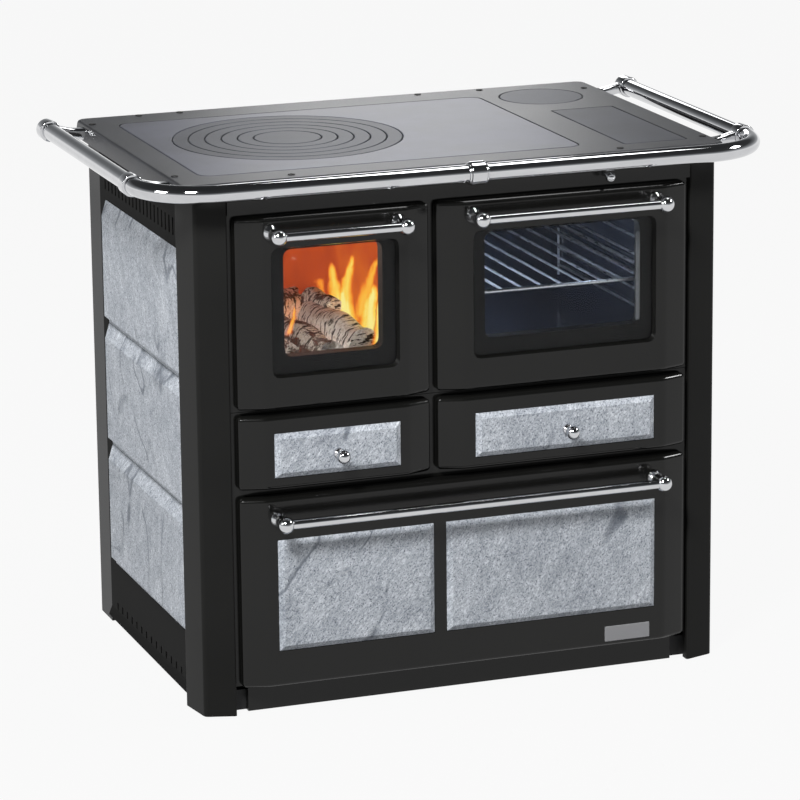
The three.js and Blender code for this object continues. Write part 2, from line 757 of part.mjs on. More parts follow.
// A side sheet with a lip along its foot, vent slots and a shallow pocket for the stones.
function sidePanel(side) {
  const profile = [
    [SIDE + SIDE_LIP_OUT, SIDE_FOOT],
    [SIDE, SIDE_FOOT + SIDE_LIP_HEIGHT],
    [SIDE, PANEL_TOP],
  ];
  const sheet = prism(folded(profile, SIDE_SHEET), 'y', PANEL_FRONT, PANEL_REAR);
  const pocket = block(
    POCKET_BACK - POCKET_SHEET,
    SIDE,
    PANEL_FRONT,
    POCKET_REAR + POCKET_SHEET,
    POCKET_FOOT - POCKET_SHEET,
    POCKET_TOP + POCKET_SHEET,
  );
  const hollow = block(
    POCKET_BACK,
    SIDE + OVERCUT,
    PANEL_FRONT - OVERCUT,
    POCKET_REAR,
    POCKET_FOOT,
    POCKET_TOP,
  );
  const inside = SIDE - SIDE_SHEET - OVERCUT;
  const outside = SIDE + SIDE_LIP_OUT;
  const upperFoot = HOB_HEIGHT - UPPER_SLOT_DROP - UPPER_SLOT_HEIGHT;
  const panel = cut(
    join(sheet, pocket),
    hollow,
    ...slots(UPPER_SLOT_PITCH, upperFoot, UPPER_SLOT_HEIGHT, inside, outside),
    ...slots(LOWER_SLOT_PITCH, LOWER_SLOT_FOOT, LOWER_SLOT_HEIGHT, inside, outside),
  );
  return side > 0 ? panel : panel.mirror([1, 0, 0]);
}

// A side stone: rebated foot, flat face, long bevel above and a bevel at the rear edge.
function sideStone(side, place) {
  const pitch = (POCKET_TOP - POCKET_FOOT) / SIDE_STONES.length;
  const foot = POCKET_FOOT + place * pitch + SEAT;
  const top = POCKET_FOOT + (place + 1) * pitch - SEAT;
  const back = POCKET_BACK + SEAT;
  const face = SIDE + SIDE_STONE_PROUD;
  const front = PANEL_FRONT + SEAT;
  const rear = POCKET_REAR - SEAT;
  const profile = [
    [back, foot],
    [SIDE, foot],
    [SIDE, foot + SIDE_STONE_STRIP - STRIP_SLOPE],
    [face, foot + SIDE_STONE_STRIP],
    [face, top - SIDE_STONE_BEVEL],
    [SIDE, top],
    [back, top],
  ];
  const plan = [
    [back, front],
    [face - SIDE_STONE_EDGE, front],
    [face, front + SIDE_STONE_EDGE],
    [face, rear - SIDE_STONE_END],
    [SIDE, rear],
    [back, rear],
  ];
  const bar = prism(mirrored(profile, side), 'y', front, rear);
  return bar.intersect(prism(mirrored(plan, side), 'z', foot, top));
}

// The rear sheet with the flue's hole, and the corner fold at each end that stands on the floor.
function rearPanel() {
  const half = SIDE - REAR_POST_WIDTH + OVERCUT;
  const front = BACK - POST_SHEET;
  const sheet = block(-half, half, front, front + REAR_SHEET, SIDE_FOOT, BODY_TOP);
  const hole = cylinder(
    FLUE_RADIUS + PLAY,
    front - OVERCUT,
    BACK,
    'y',
    [FLUE_X, 0, FLUE_Z],
    RING_SIDES,
  );
  return cut(join(sheet, rearCorner(-1), rearCorner(1)), hole);
}

const PAN_HALF = FLANGE_EDGE - SEAT;
const PLINTH_FRONT = FRONT + PLINTH_BACK;
const PAN_FRONT = PLINTH_FRONT + PLINTH_RETURN;
const PAN_REAR = BACK - POST_SHEET - SEAT;

// An inverted tray on four foot pads, with two runners for the wood drawer.
function basePan() {
  const tray = cut(
    block(-PAN_HALF, PAN_HALF, PAN_FRONT, PAN_REAR, 0, PAN_HEIGHT),
    block(
      PAN_SHEET - PAN_HALF,
      PAN_HALF - PAN_SHEET,
      PAN_FRONT + PAN_SHEET,
      PAN_REAR - PAN_SHEET,
      -OVERCUT,
      PAN_HEIGHT - PAN_SHEET,
    ),
  );
  const padRows = [PAN_FRONT + FOOT_PAD_INSET, PAN_REAR - FOOT_PAD_INSET - FOOT_PAD];
  const padColumns = [FOOT_PAD_INSET - PAN_HALF, PAN_HALF - FOOT_PAD_INSET - FOOT_PAD];
  const pads = padRows.flatMap((y) =>
    padColumns.map((x) => block(x, x + FOOT_PAD, y, y + FOOT_PAD, 0, PAN_HEIGHT)),
  );
  const runnerTop = WOOD_BOX.foot - SEAT;
  const runners = [RUNNER_INSET - PAN_HALF, PAN_HALF - RUNNER_INSET - RUNNER_WIDTH].map((x) =>
    block(x, x + RUNNER_WIDTH, PAN_FRONT, PAN_REAR, PAN_HEIGHT - OVERCUT, runnerTop),
  );
  return join(tray, ...pads, ...runners);
}

function plinthFront() {
  const half = SIDE - PLINTH_INSET;
  const end = PAN_FRONT - SEAT;
  const line = [[-half, end], [-half, PLINTH_FRONT], [half, PLINTH_FRONT], [half, end]];
  return prism(folded(line, PAN_SHEET), 'z', 0, PLINTH_HEIGHT);
}

function dividerShelf() {
  const half = POCKET_BACK - POCKET_SHEET - SEAT;
  const top = ASH_BOX.foot - SEAT;
  return block(-half, half, FRAME_BACK + SEAT, PAN_REAR, top - SHELF_SHEET, top);
}

function lugPlaces(door) {
  return [door.left + LUG_INSET, door.right - LUG_INSET - LUG_THICKNESS];
}

// The upper plate behind the doors, with their mouths, the band under the hob and the hinge lugs.
function frontFrame() {
  const mouths = [roundedSpan(FIRE_MOUTH, MOUTH_CORNER), roundedSpan(OVEN_MOUTH, MOUTH_CORNER)];
  const outline = rectangle(-FRAME_HALF, FRAME_HALF, FRAME_SPLIT + SEAT, BODY_TOP);
  const plate = piercedPrism(outline, 'y', FRAME_FRONT, FRAME_BACK, mouths);
  const bandFront = FRAME_FRONT - TOP_BAND_PROUD;
  const band = block(-FRAME_HALF, FRAME_HALF, bandFront, FRAME_BACK, BODY_TOP - TOP_BAND, BODY_TOP);
  const lugs = [FIRE, OVEN].flatMap(lugPlaces).map(hingeLug);
  const damperHole = cylinder(
    DAMPER_RADIUS + PLAY,
    bandFront - OVERCUT,
    FRAME_BACK + OVERCUT,
    'y',
    [DAMPER_X, 0, DAMPER_Z],
    SMALL_SIDES,
  );
  return cut(join(plate, band, ...lugs), damperHole);
}

// The lower plate, with the drawers' mouths; the outer sides of all three stand in line.
function drawerFrame() {
  const left = WOOD_BOX.left - BOX_PLAY;
  const right = WOOD_BOX.right + BOX_PLAY;
  const foot = ASH_BOX.foot - BOX_PLAY;
  const top = SMALL_TOP - SMALL_MOUTH_TOP;
  const mouths = [
    rectangle(left, ASH_BOX.right + BOX_PLAY, foot, top),
    rectangle(WARMING_BOX.left - BOX_PLAY, right, foot, top),
    rectangle(left, right, WOOD_BOX.foot - BOX_PLAY, WOOD_TOP - WOOD_MOUTH_TOP),
  ];
  const outline = rectangle(-FRAME_HALF, FRAME_HALF, FRAME_BASE, FRAME_SPLIT);
  return piercedPrism(outline, 'y', FRAME_FRONT, FRAME_BACK, mouths);
}

// A lug on the frame that carries the hinge rod.
function hingeLug(x) {
  const ends = [
    [FRAME_FRONT + OVERCUT, HINGE_Z + LUG_RADIUS],
    [HINGE_Y - LUG_RADIUS, HINGE_Z + LUG_RADIUS],
    [HINGE_Y - LUG_RADIUS, HINGE_Z - LUG_RADIUS],
    [FRAME_FRONT + OVERCUT, HINGE_Z - LUG_RADIUS],
  ];
  const lug = prism(rounded(ends, [0, LUG_ROUND, LUG_ROUND, 0]), 'x', x, x + LUG_THICKNESS);
  const bore = HINGE_ROD_RADIUS + PLAY;
  const centre = [x, HINGE_Y, HINGE_Z];
  return cut(lug, cylinder(bore, -OVERCUT, LUG_THICKNESS + OVERCUT, 'x', centre, SMALL_SIDES));
}

function hingeRod(door) {
  const from = door.left + HINGE_ROD_INSET;
  const to = door.right - HINGE_ROD_INSET;
  return cylinder(HINGE_ROD_RADIUS, from, to, 'x', [0, HINGE_Y, HINGE_Z], SMALL_SIDES);
}

// ------------------------------------------------------------------ fronts

// The plan of a front, drawn in by a distance from its face and ends.
function facePlan(area, distance) {
  const edge = FACE + CANT_DEPTH;
  const line = [
    [area.left, FACE_REAR],
    [area.left, edge],
    [area.left + CANT_WIDTH, FACE],
    [area.right - CANT_WIDTH, FACE],
    [area.right, edge],
    [area.right, FACE_REAR],
  ];
  const corner = Math.max(FACE_EDGE - distance, 0.5);
  return rounded(beside(line, distance), [0, corner, BEND_RADIUS, BEND_RADIUS, corner, 0], 2);
}

// A front with slanting margins, rounded along every edge of its face.
function face(area) {
  const rounds = Array.from({ length: CORNER_STEPS + 1 }, (_, step) => {
    const angle = (Math.PI / 2) * (step / CORNER_STEPS);
    return [FACE_EDGE * (1 - Math.cos(angle)), FACE_EDGE * (1 - Math.sin(angle))];
  });
  const lower = rounds.map(([rise, draw]) => facePlan(area, draw).map(levelAt(area.foot + rise)));
  const upper = rounds.map(([rise, draw]) => facePlan(area, draw).map(levelAt(area.top - rise)));
  return loft([...lower, ...upper.reverse()]);
}

// A cast door frame: window recess, seats for glass and liner, and the hinge's notches and bore.
function doorFrame(door, recess, liner) {
  const opening = loft([
    roundedSpan(grown(recess, RECESS_FLARE), RECESS_CORNER).map(uprightAt(FACE - OVERCUT)),
    roundedSpan(grown(recess, -RECESS_TAPER), RECESS_CORNER).map(uprightAt(GLASS_FRONT + OVERCUT)),
  ]);
  const glassArea = grown(recess, GLASS_LIP + SEAT);
  const glassSeat = prism(roundedSpan(glassArea, 0), 'y', GLASS_FRONT - SEAT, LINER_FRONT);
  const linerArea = grown(liner, SEAT);
  const linerSeat = prism(roundedSpan(linerArea, 0), 'y', LINER_FRONT - SEAT, FACE_REAR + OVERCUT);
  const notchFront = HINGE_Y - LUG_RADIUS - LUG_CLEARANCE;
  const notchTop = HINGE_Z + LUG_RADIUS + LUG_CLEARANCE;
  const notches = lugPlaces(door).map((x) =>
    block(
      x - LUG_CLEARANCE,
      x + LUG_THICKNESS + LUG_CLEARANCE,
      notchFront,
      FACE_REAR + OVERCUT,
      door.foot - OVERCUT,
      notchTop,
    ),
  );
  const boreStart = door.left + HINGE_ROD_INSET - PLAY;
  const boreEnd = door.right - HINGE_ROD_INSET + PLAY;
  const bore = cylinder(
    HINGE_ROD_RADIUS + PLAY,
    boreStart,
    boreEnd,
    'x',
    [0, HINGE_Y, HINGE_Z],
    SMALL_SIDES,
  );
  const heel = [
    [FACE_REAR - DOOR_HEEL, door.foot - OVERCUT],
    [FACE_REAR + OVERCUT, door.foot - OVERCUT],
    [FACE_REAR + OVERCUT, door.foot + DOOR_HEEL],
    [FACE_REAR, door.foot + DOOR_HEEL],
    [FACE_REAR - DOOR_HEEL, door.foot],
  ];
  const heelCut = prism(heel, 'x', door.left - OVERCUT, door.right + OVERCUT);
  return cut(face(door), opening, glassSeat, linerSeat, ...notches, bore, heelCut);
}

function doorGlass(recess) {
  const pane = roundedSpan(grown(recess, GLASS_LIP), 0);
  return prism(pane, 'y', GLASS_FRONT, GLASS_FRONT + GLASS_THICKNESS);
}

// The cast liner behind the glass: a plate with a window, stiffened round both edges.
function doorLiner(liner, recess) {
  const window = inset(recess, BORDER_SIDE, BORDER_FOOT, BORDER_TOP);
  const rim = grown(window, LINER_WALL);
  const opening = roundedSpan(window, RECESS_CORNER);
  const body = piercedPrism(roundedSpan(liner, 0), 'y', LINER_FRONT, LINER_BACK, [opening]);
  const floor = LINER_FRONT + LINER_PLATE;
  const between = roundedSpan(grown(liner, -LINER_WALL), LINER_WALL);
  const channel = prism(between, 'y', floor, LINER_BACK + OVERCUT);
  const kept = prism(roundedSpan(rim, RECESS_CORNER), 'y', floor - OVERCUT, LINER_BACK + 2 * OVERCUT);
  return cut(body, cut(channel, kept));
}

// A bar between two turned posts that end in balls.
function barHandle(left, right, z) {
  const reach = HANDLE_REACH - SEAT;
  const post = [
    [0, 0],
    ...POST_PROFILE.map(([r, d]) => [HANDLE_BALL * r, HANDLE_REACH * d]),
    ...ballProfile(reach, HANDLE_BALL, HANDLE_BALL * POST_NECK, BALL_STEPS),
  ].map(([r, d]) => [r, -d]);
  const posts = [left, right].map((x) => turned(post, 'y', [x, FACE - SEAT, z], TURNED_SIDES));
  const bar = cylinder(HANDLE_RADIUS, left, right, 'x', [0, FACE - HANDLE_REACH, z], TURNED_SIDES);
  return join(bar, ...posts);
}

// A slab with bevelled edges that stands proud of its front.
function stone(area) {
  return loft([
    roundedSpan(area, 0).map(uprightAt(FACE + STONE_SUNK)),
    roundedSpan(area, 0).map(uprightAt(FACE)),
    roundedSpan(grown(area, -STONE_BEVEL), 0).map(uprightAt(FACE - STONE_PROUD)),
  ]);
}

const BOSS_BACK = FACE + STONE_SUNK + SEAT + FRONT_SHELL;

// A hollow drawer front with a boss and a pocket behind each stone.
function drawerFront(area, stones) {
  const plan = facePlan(area, FRONT_SHELL);
  const opened = plan.map(([x, y]) => [x, y === FACE_REAR ? FACE_REAR + OVERCUT : y]);
  const hollow = prism(opened, 'z', area.foot + FACE_EDGE, area.top - FACE_EDGE);
  const bosses = stones.map((slab) => {
    const outline = roundedSpan(grown(slab, FRONT_SHELL), 0);
    return prism(outline, 'y', FACE + FRONT_SHELL / 2, BOSS_BACK);
  });
  const pockets = stones.map((slab) => {
    const outline = roundedSpan(grown(slab, SEAT), 0);
    return prism(outline, 'y', FACE - OVERCUT, FACE + STONE_SUNK + SEAT);
  });
  return cut(join(cut(face(area), hollow), ...bosses), ...pockets);
}

function knob(x, z) {
  const profile = [
    [0, 0],
    ...KNOB_PROFILE.map(([r, d]) => [KNOB_FOOT * r, KNOB_REACH * d]),
    ...ballProfile(KNOB_REACH, KNOB_BALL, KNOB_FOOT * KNOB_NECK, BALL_STEPS),
  ].map(([r, d]) => [r, -d]);
  return turned(profile, 'y', [x, FACE - STONE_PROUD - SEAT, z], TURNED_SIDES);
}

// An open-topped box fixed to the back of a drawer front's bosses.
function drawerTray(box, length) {
  const front = BOSS_BACK + SEAT;
  const rear = front + length;
  const top = box.top + OVERCUT;
  return cut(
    block(box.left, box.right, front, rear, box.foot, box.top),
    block(
      box.left + BOX_WALL,
      box.right - BOX_WALL,
      front + BOX_WALL,
      rear - BOX_WALL,
      box.foot + BOX_WALL,
      top,
    ),
  );
}

const ASH_STONE = inset(ASH, STONE_SIDE, STONE_FOOT, STONE_TOP);
const WARMING_STONE = inset(WARMING, OVEN_STONE_SIDE, STONE_FOOT, STONE_TOP);
const WOOD_SPLIT = (ASH.right + WARMING.left) / 2 + WOOD_STONE_SHIFT;
const WOOD_STONES = [
  span(
    WOOD.left + WOOD_STONE_SIDE,
    WOOD_SPLIT - WOOD_STONE_GAP / 2,
    WOOD.foot + WOOD_STONE_FOOT,
    WOOD.top - WOOD_STONE_TOP,
  ),
  span(
    WOOD_SPLIT + WOOD_STONE_GAP / 2,
    WOOD.right - WOOD_STONE_SIDE,
    WOOD.foot + WOOD_STONE_FOOT,
    WOOD.top - WOOD_STONE_TOP,
  ),
];

// ------------------------------------------------------------------ inside

const SHELL_INNER = {
  left: FIRE_MOUTH.left - SHELL_MARGIN,
  right: FIRE_MOUTH.right + SHELL_MARGIN,
  front: FRAME_BACK + SEAT,
  rear: FRAME_BACK + FIREBOX_DEPTH,
  floor: FIRE_MOUTH.foot - SHELL_MARGIN,
  top: HOB_HEIGHT - FIREBOX_TOP,
};
const GRATE = {
  left: SHELL_INNER.left + BRICK + GRATE_SIDE,
  right: SHELL_INNER.right - BRICK - GRATE_SIDE,
  front: SHELL_INNER.front + GRATE_FRONT,
  rear: SHELL_INNER.front + GRATE_FRONT + GRATE_LENGTH,
};

// The steel shell round the fire, open to the door and to the hob, over the ash drawer.
function fireboxShell() {
  const s = SHELL_INNER;
  const outside = block(
    s.left - SHELL_WALL,
    s.right + SHELL_WALL,
    s.front,
    s.rear + SHELL_WALL,
    s.floor - SHELL_WALL,
    s.top,
  );
  const inside = block(s.left, s.right, s.front - OVERCUT, s.rear, s.floor, s.top + OVERCUT);
  const ashHole = block(
    GRATE.left + GRATE_LEDGE,
    GRATE.right - GRATE_LEDGE,
    GRATE.front + GRATE_LEDGE,
    GRATE.rear - GRATE_LEDGE,
    s.floor - SHELL_WALL - OVERCUT,
    s.floor + OVERCUT,
  );
  return cut(outside, inside, ashHole);
}

function firebrickLining() {
  const s = SHELL_INNER;
  const outline = [
    [s.left + SEAT, s.front],
    [s.left + SEAT, s.rear - SEAT],
    [s.right - SEAT, s.rear - SEAT],
    [s.right - SEAT, s.front],
    [s.right - BRICK, s.front],
    [s.right - BRICK, s.rear - BRICK],
    [s.left + BRICK, s.rear - BRICK],
    [s.left + BRICK, s.front],
  ];
  return prism(outline, 'z', s.floor + SEAT, HOB_HEIGHT - BRICK_TOP);
}

function grate() {
  const foot = SHELL_INNER.floor + SEAT;
  const room = GRATE.right - GRATE.left - 2 * GRATE_RIM + GRATE_BAR;
  const count = Math.floor(room / (GRATE_SLOT + GRATE_BAR));
  const first = (GRATE.left + GRATE.right - count * (GRATE_SLOT + GRATE_BAR) + GRATE_BAR) / 2;
  const gaps = Array.from({ length: count }, (_, i) => {
    const x = first + i * (GRATE_SLOT + GRATE_BAR);
    return rectangle(x, x + GRATE_SLOT, GRATE.front + GRATE_RIM, GRATE.rear - GRATE_RIM);
  });
  const outline = rectangle(GRATE.left, GRATE.right, GRATE.front, GRATE.rear);
  return piercedPrism(outline, 'z', foot, foot + GRATE_THICKNESS, gaps);
}

const OVEN_FRONT = FRAME_BACK + SEAT;
const OVEN_REAR = OVEN_FRONT + OVEN_DEPTH;
const RACK_Z = OVEN_MOUTH.foot + RACK_HEIGHT;

// The oven's lining: a deep tray on its side, with a runner along each wall for the rack.
function ovenLiner() {
  const m = OVEN_MOUTH;
  const outside = block(
    m.left - OVEN_WALL,
    m.right + OVEN_WALL,
    OVEN_FRONT,
    OVEN_REAR + OVEN_WALL,
    m.foot - OVEN_WALL,
    m.top + OVEN_WALL,
  );
  const inside = block(m.left, m.right, OVEN_FRONT - OVERCUT, OVEN_REAR, m.foot, m.top);
  const runners = [
    [m.left - OVEN_WALL / 2, m.left + RUNNER_SIDE],
    [m.right - RUNNER_SIDE, m.right + OVEN_WALL / 2],
  ].map(([x0, x1]) =>
    block(x0, x1, OVEN_FRONT + RACK_INSET, OVEN_REAR + OVEN_WALL / 2, RACK_Z - RACK_RUNNER, RACK_Z),
  );
  return join(cut(outside, inside), ...runners);
}

// A wire rack: a frame of thick wire with thinner wires from front to rear.
function ovenRack() {
  const z = RACK_Z + SEAT + RACK_FRAME;
  const left = OVEN_MOUTH.left + SEAT + RACK_FRAME;
  const right = OVEN_MOUTH.right - SEAT - RACK_FRAME;
  const front = OVEN_FRONT + RACK_INSET;
  const rear = OVEN_REAR - RACK_INSET;
  const sides = 6;
  const frame = [
    cylinder(RACK_FRAME, front - RACK_FRAME, rear + RACK_FRAME, 'y', [left, 0, z], sides),
    cylinder(RACK_FRAME, front - RACK_FRAME, rear + RACK_FRAME, 'y', [right, 0, z], sides),
    cylinder(RACK_FRAME, left, right, 'x', [0, front, z], sides),
    cylinder(RACK_FRAME, left, right, 'x', [0, rear, z], sides),
  ];
  const count = Math.floor((right - left) / RACK_PITCH) - 1;
  const first = (left + right - (count - 1) * RACK_PITCH) / 2;
  const wires = Array.from({ length: count }, (_, i) =>
    cylinder(RACK_WIRE, front, rear, 'y', [first + i * RACK_PITCH, 0, z], sides),
  );
  return join(...frame, ...wires);
}

// The flue outlet at the rear: a short pipe with a flange against the rear panel.
function flueSpigot() {
  const inner = FLUE_RADIUS - FLUE_WALL;
  const start = BACK - FLUE_INSIDE;
  const flange = BACK - POST_SHEET + REAR_SHEET + SEAT;
  const flangeEnd = flange + FLUE_FLANGE_THICKNESS;
  const profile = [
    [inner, start],
    [FLUE_RADIUS, start],
    [FLUE_RADIUS, flange],
    [FLUE_RADIUS + FLUE_FLANGE, flange],
    [FLUE_RADIUS + FLUE_FLANGE, flangeEnd],
    [FLUE_RADIUS, flangeEnd],
    [FLUE_RADIUS, start + FLUE_LENGTH],
    [inner, start + FLUE_LENGTH],
    [inner, start],
  ];
  return turned(profile, 'y', [FLUE_X, 0, FLUE_Z], RING_SIDES);
}

// ------------------------------------------------------------------ rail and damper

// The front tube with its two bends and the turned collar that joins its halves.
function railFront() {
  const bend = (centreX, fromAngle) =>
    Array.from({ length: BEND_STEPS }, (_, step) => {
      const angle = fromAngle + (Math.PI / 2) * (step / (BEND_STEPS - 1));
      const x = centreX + RAIL_BEND * Math.cos(angle);
      return [x, RAIL_BEND_END + RAIL_BEND * Math.sin(angle), RAIL_Z];
    });
  const tubeEnd = RAIL_JOINT - SEAT;
  const points = [
    [-RAIL_X, tubeEnd, RAIL_Z],
    ...bend(RAIL_BEND - RAIL_X, Math.PI),
    ...bend(RAIL_X - RAIL_BEND, 1.5 * Math.PI),
    [RAIL_X, tubeEnd, RAIL_Z],
  ];
  const half = COLLAR_LENGTH / 2;
  const neck = RAIL_RADIUS - OVERCUT;
  const end = half + COLLAR_BEAD;
  const collarHalf = [
    [COLLAR_RADIUS, half - COLLAR_EASE],
    [COLLAR_WAIST, half],
    [COLLAR_BEAD_RADIUS, half + TURNED_EASE],
    [COLLAR_BEAD_RADIUS, end - TURNED_EASE],
    [neck, end],
    [0, end],
  ];
  const collar = [...collarHalf.map(([r, d]) => [r, -d]).reverse(), ...collarHalf];
  const centre = [COLLAR_CENTRE, RAIL_Y, RAIL_Z];
  return join(rod(points, RAIL_RADIUS, TUBE_SIDES), turned(collar, 'x', centre, TUBE_SIDES));
}

// An arm from a rail socket in and down to the hob's skirt, ending parallel to it.
function railArm(y) {
  const section = (x, z, width, height) =>
    roundedRectangle(
      y - width / 2,
      y + width / 2,
      z - height / 2,
      z + height / 2,
      height * ARM_ROUND,
    ).map(([across, up]) => [x, across, up]);
  const skirt = ([, across, up]) => {
    const flare = (SKIRT_FLARE * (HOB_HEIGHT - up)) / HOB_SKIRT;
    return [RIGHT + flare + SEAT, across, up];
  };
  const low = HOB_HEIGHT - ARM_DROP;
  const waist = ARM_WIDTH * ARM_WAIST;
  const [near, far] = ARM_STATIONS.map((share) => RIGHT + RAIL_OUT * share);
  return loft([
    section(0, low, ARM_WIDTH, ARM_HEIGHT).map(skirt),
    section(near, low, waist, ARM_HEIGHT),
    section(far, (low + RAIL_Z) / 2, waist, ARM_HEIGHT),
    section(RAIL_X, RAIL_Z, ARM_WIDTH, ARM_HEIGHT),
  ]);
}

// A side of the rail: the tube, a socket over the front tube's end, a domed end and two arms.
function railSide(side) {
  const rear = BACK - RAIL_REAR;
  const rearSocket = BACK - ARM_REAR_INSET - SOCKET_LENGTH / 2;
  const socketProfile = (from) => [
    [0, from],
    [SOCKET_RADIUS - TURNED_EASE, from],
    [SOCKET_RADIUS, from + TURNED_EASE],
    [SOCKET_RADIUS, from + SOCKET_LENGTH - TURNED_EASE],
    [SOCKET_RADIUS - TURNED_EASE, from + SOCKET_LENGTH],
    [0, from + SOCKET_LENGTH],
  ];
  const tube = [
    [0, RAIL_JOINT],
    [RAIL_RADIUS, RAIL_JOINT],
    ...[0, 1, 2, 3].map((step) => {
      const angle = (Math.PI / 2) * (step / 3);
      const r = step === 3 ? 0 : RAIL_RADIUS * Math.cos(angle);
      return [r, rear - RAIL_RADIUS + RAIL_RADIUS * Math.sin(angle)];
    }),
  ];
  const centre = [RAIL_X, 0, RAIL_Z];
  const socketStart = RAIL_BEND_END + SEAT;
  const whole = join(
    turned(tube, 'y', centre, TUBE_SIDES),
    turned(socketProfile(socketStart), 'y', centre, TUBE_SIDES),
    turned(socketProfile(rearSocket), 'y', centre, TUBE_SIDES),
    railArm(socketStart + SOCKET_LENGTH / 2),
    railArm(BACK - ARM_REAR_INSET),
  );
  const bore = cylinder(
    RAIL_RADIUS + PLAY,
    socketStart - OVERCUT,
    RAIL_JOINT,
    'y',
    centre,
    TUBE_SIDES,
  );
  const railing = cut(whole, bore);
  return side > 0 ? railing : railing.mirror([1, 0, 0]);
}

// The rod that draws the flue damper, with its knob under the hob's front edge.
function damperRod() {
  const knobY = FRONT - DAMPER_REACH;
  const ball = ballProfile(0, DAMPER_KNOB, DAMPER_RADIUS, 6).map(([r, d]) => [r, knobY - d]);
  const end = knobY + DAMPER_LENGTH;
  const profile = [[0, end], [DAMPER_RADIUS, end], ...ball];
  return turned(profile, 'y', [DAMPER_X, 0, DAMPER_Z], SMALL_SIDES);
}

// ------------------------------------------------------------------ materials

function material(name, color, roughness, metalness, extra = {}) {
  return new THREE.MeshStandardMaterial({ name, color, roughness, metalness, ...extra });
}

const ENAMEL = material('enamel', 0x35373a, 0.28, 0.2);
const CAST_IRON = material('cast_iron', 0x5d6064, 0.5, 0.7);
const COOKING_IRON = material('cooking_iron', 0x8e9399, 0.42, 0.7);
const SOAPSTONE = material('soapstone', 0xa3a9ad, 0.7, 0);
const CHROME = material('chrome', 0xdcdee0, 0.08, 1);
const GLASS = material('glass', 0x202428, 0.05, 0, { transparent: true, opacity: 0.3 });
const SHEET_STEEL = material('sheet_steel', 0x6f7376, 0.45, 0.8);
const FIREBRICK = material('firebrick', 0xb49a7c, 0.9, 0);

// ------------------------------------------------------------------ assembly

const cookstove = new THREE.Group();
cookstove.name = 'wood_cookstove';

// The reference point is the middle of the whole footprint, from the handles to the flue spigot.
const FOREMOST = FACE - HANDLE_REACH - HANDLE_BALL;
const REARMOST = BACK - FLUE_INSIDE + FLUE_LENGTH;
cookstove.position.y = -(FOREMOST + REARMOST) / 2;

function add(name, piece, surface) {
  const mesh = piece.getMesh();
  const geometry = new THREE.BufferGeometry();
  geometry.setAttribute('position', new THREE.BufferAttribute(mesh.vertProperties, mesh.numProp));
  geometry.setIndex(new THREE.BufferAttribute(mesh.triVerts, 1));
  const node = new THREE.Mesh(geometry, surface);
  node.name = name;
  cookstove.add(node);
}

add('base_pan', basePan(), SHEET_STEEL);
add('plinth_front', plinthFront(), ENAMEL);
add('divider_shelf', dividerShelf(), SHEET_STEEL);
add('rear_panel', rearPanel(), ENAMEL);
add('front_frame', frontFrame(), ENAMEL);
add('drawer_frame', drawerFrame(), ENAMEL);
for (const [name, side] of [['left', -1], ['right', 1]]) {
  add(`post_front_${name}`, frontPost(side), ENAMEL);
  add(`side_panel_${name}`, sidePanel(side), ENAMEL);
  add(`rail_side_${name}`, railSide(side), CHROME);
  SIDE_STONES.forEach((height, place) => {
    add(`side_stone_${name}_${height}`, sideStone(side, place), SOAPSTONE);
  });
}
add('rail_front', railFront(), CHROME);

add('hob_frame', hobFrame(), CAST_IRON);
add('cooking_plate', cookingPlate(), COOKING_IRON);
RING_RADII.slice(0, -1).forEach((radius, i) => {
  add(`hob_ring_${i + 1}`, hobRing(radius, RING_RADII[i + 1]), COOKING_IRON);
});
add('hob_ring_cover', ringCover(), COOKING_IRON);
add('flue_cover', flueCover(), COOKING_IRON);
add('sweep_cover', sweepCover(), COOKING_IRON);

add('firebox_shell', fireboxShell(), SHEET_STEEL);
add('firebrick_lining', firebrickLining(), FIREBRICK);
add('grate', grate(), CAST_IRON);
add('oven_liner', ovenLiner(), SHEET_STEEL);
add('oven_rack', ovenRack(), CHROME);
add('flue_spigot', flueSpigot(), CAST_IRON);
add('damper_rod', damperRod(), CHROME);

const DOORS = [
  ['fire_door', FIRE, FIRE_RECESS, FIRE_LINER],
  ['oven_door', OVEN, OVEN_RECESS, OVEN_LINER],
];
for (const [name, door, recess, liner] of DOORS) {
  add(`${name}_hinge_rod`, hingeRod(door), SHEET_STEEL);
  add(`${name}_frame`, doorFrame(door, recess, liner), ENAMEL);
  add(`${name}_glass`, doorGlass(recess), GLASS);
  add(`${name}_liner`, doorLiner(liner, recess), CAST_IRON);
  add(`${name}_handle`, barHandle(recess.left, recess.right, door.top - HANDLE_DROP), CHROME);
}

const SMALL_DRAWERS = [
  ['ash_drawer', ASH, ASH_STONE, ASH_BOX, FIRE_KNOB_OFFSET],
  ['warming_drawer', WARMING, WARMING_STONE, WARMING_BOX, OVEN_KNOB_OFFSET],
];
for (const [name, front, slab, box, offset] of SMALL_DRAWERS) {
  const knobX = (front.left + front.right) / 2 + offset;
  add(`${name}_front`, drawerFront(front, [slab]), ENAMEL);
  add(`${name}_stone`, stone(slab), SOAPSTONE);
  add(`${name}_knob`, knob(knobX, front.top - KNOB_DROP), CHROME);
  add(`${name}_box`, drawerTray(box, SMALL_BOX_LENGTH), SHEET_STEEL);
}

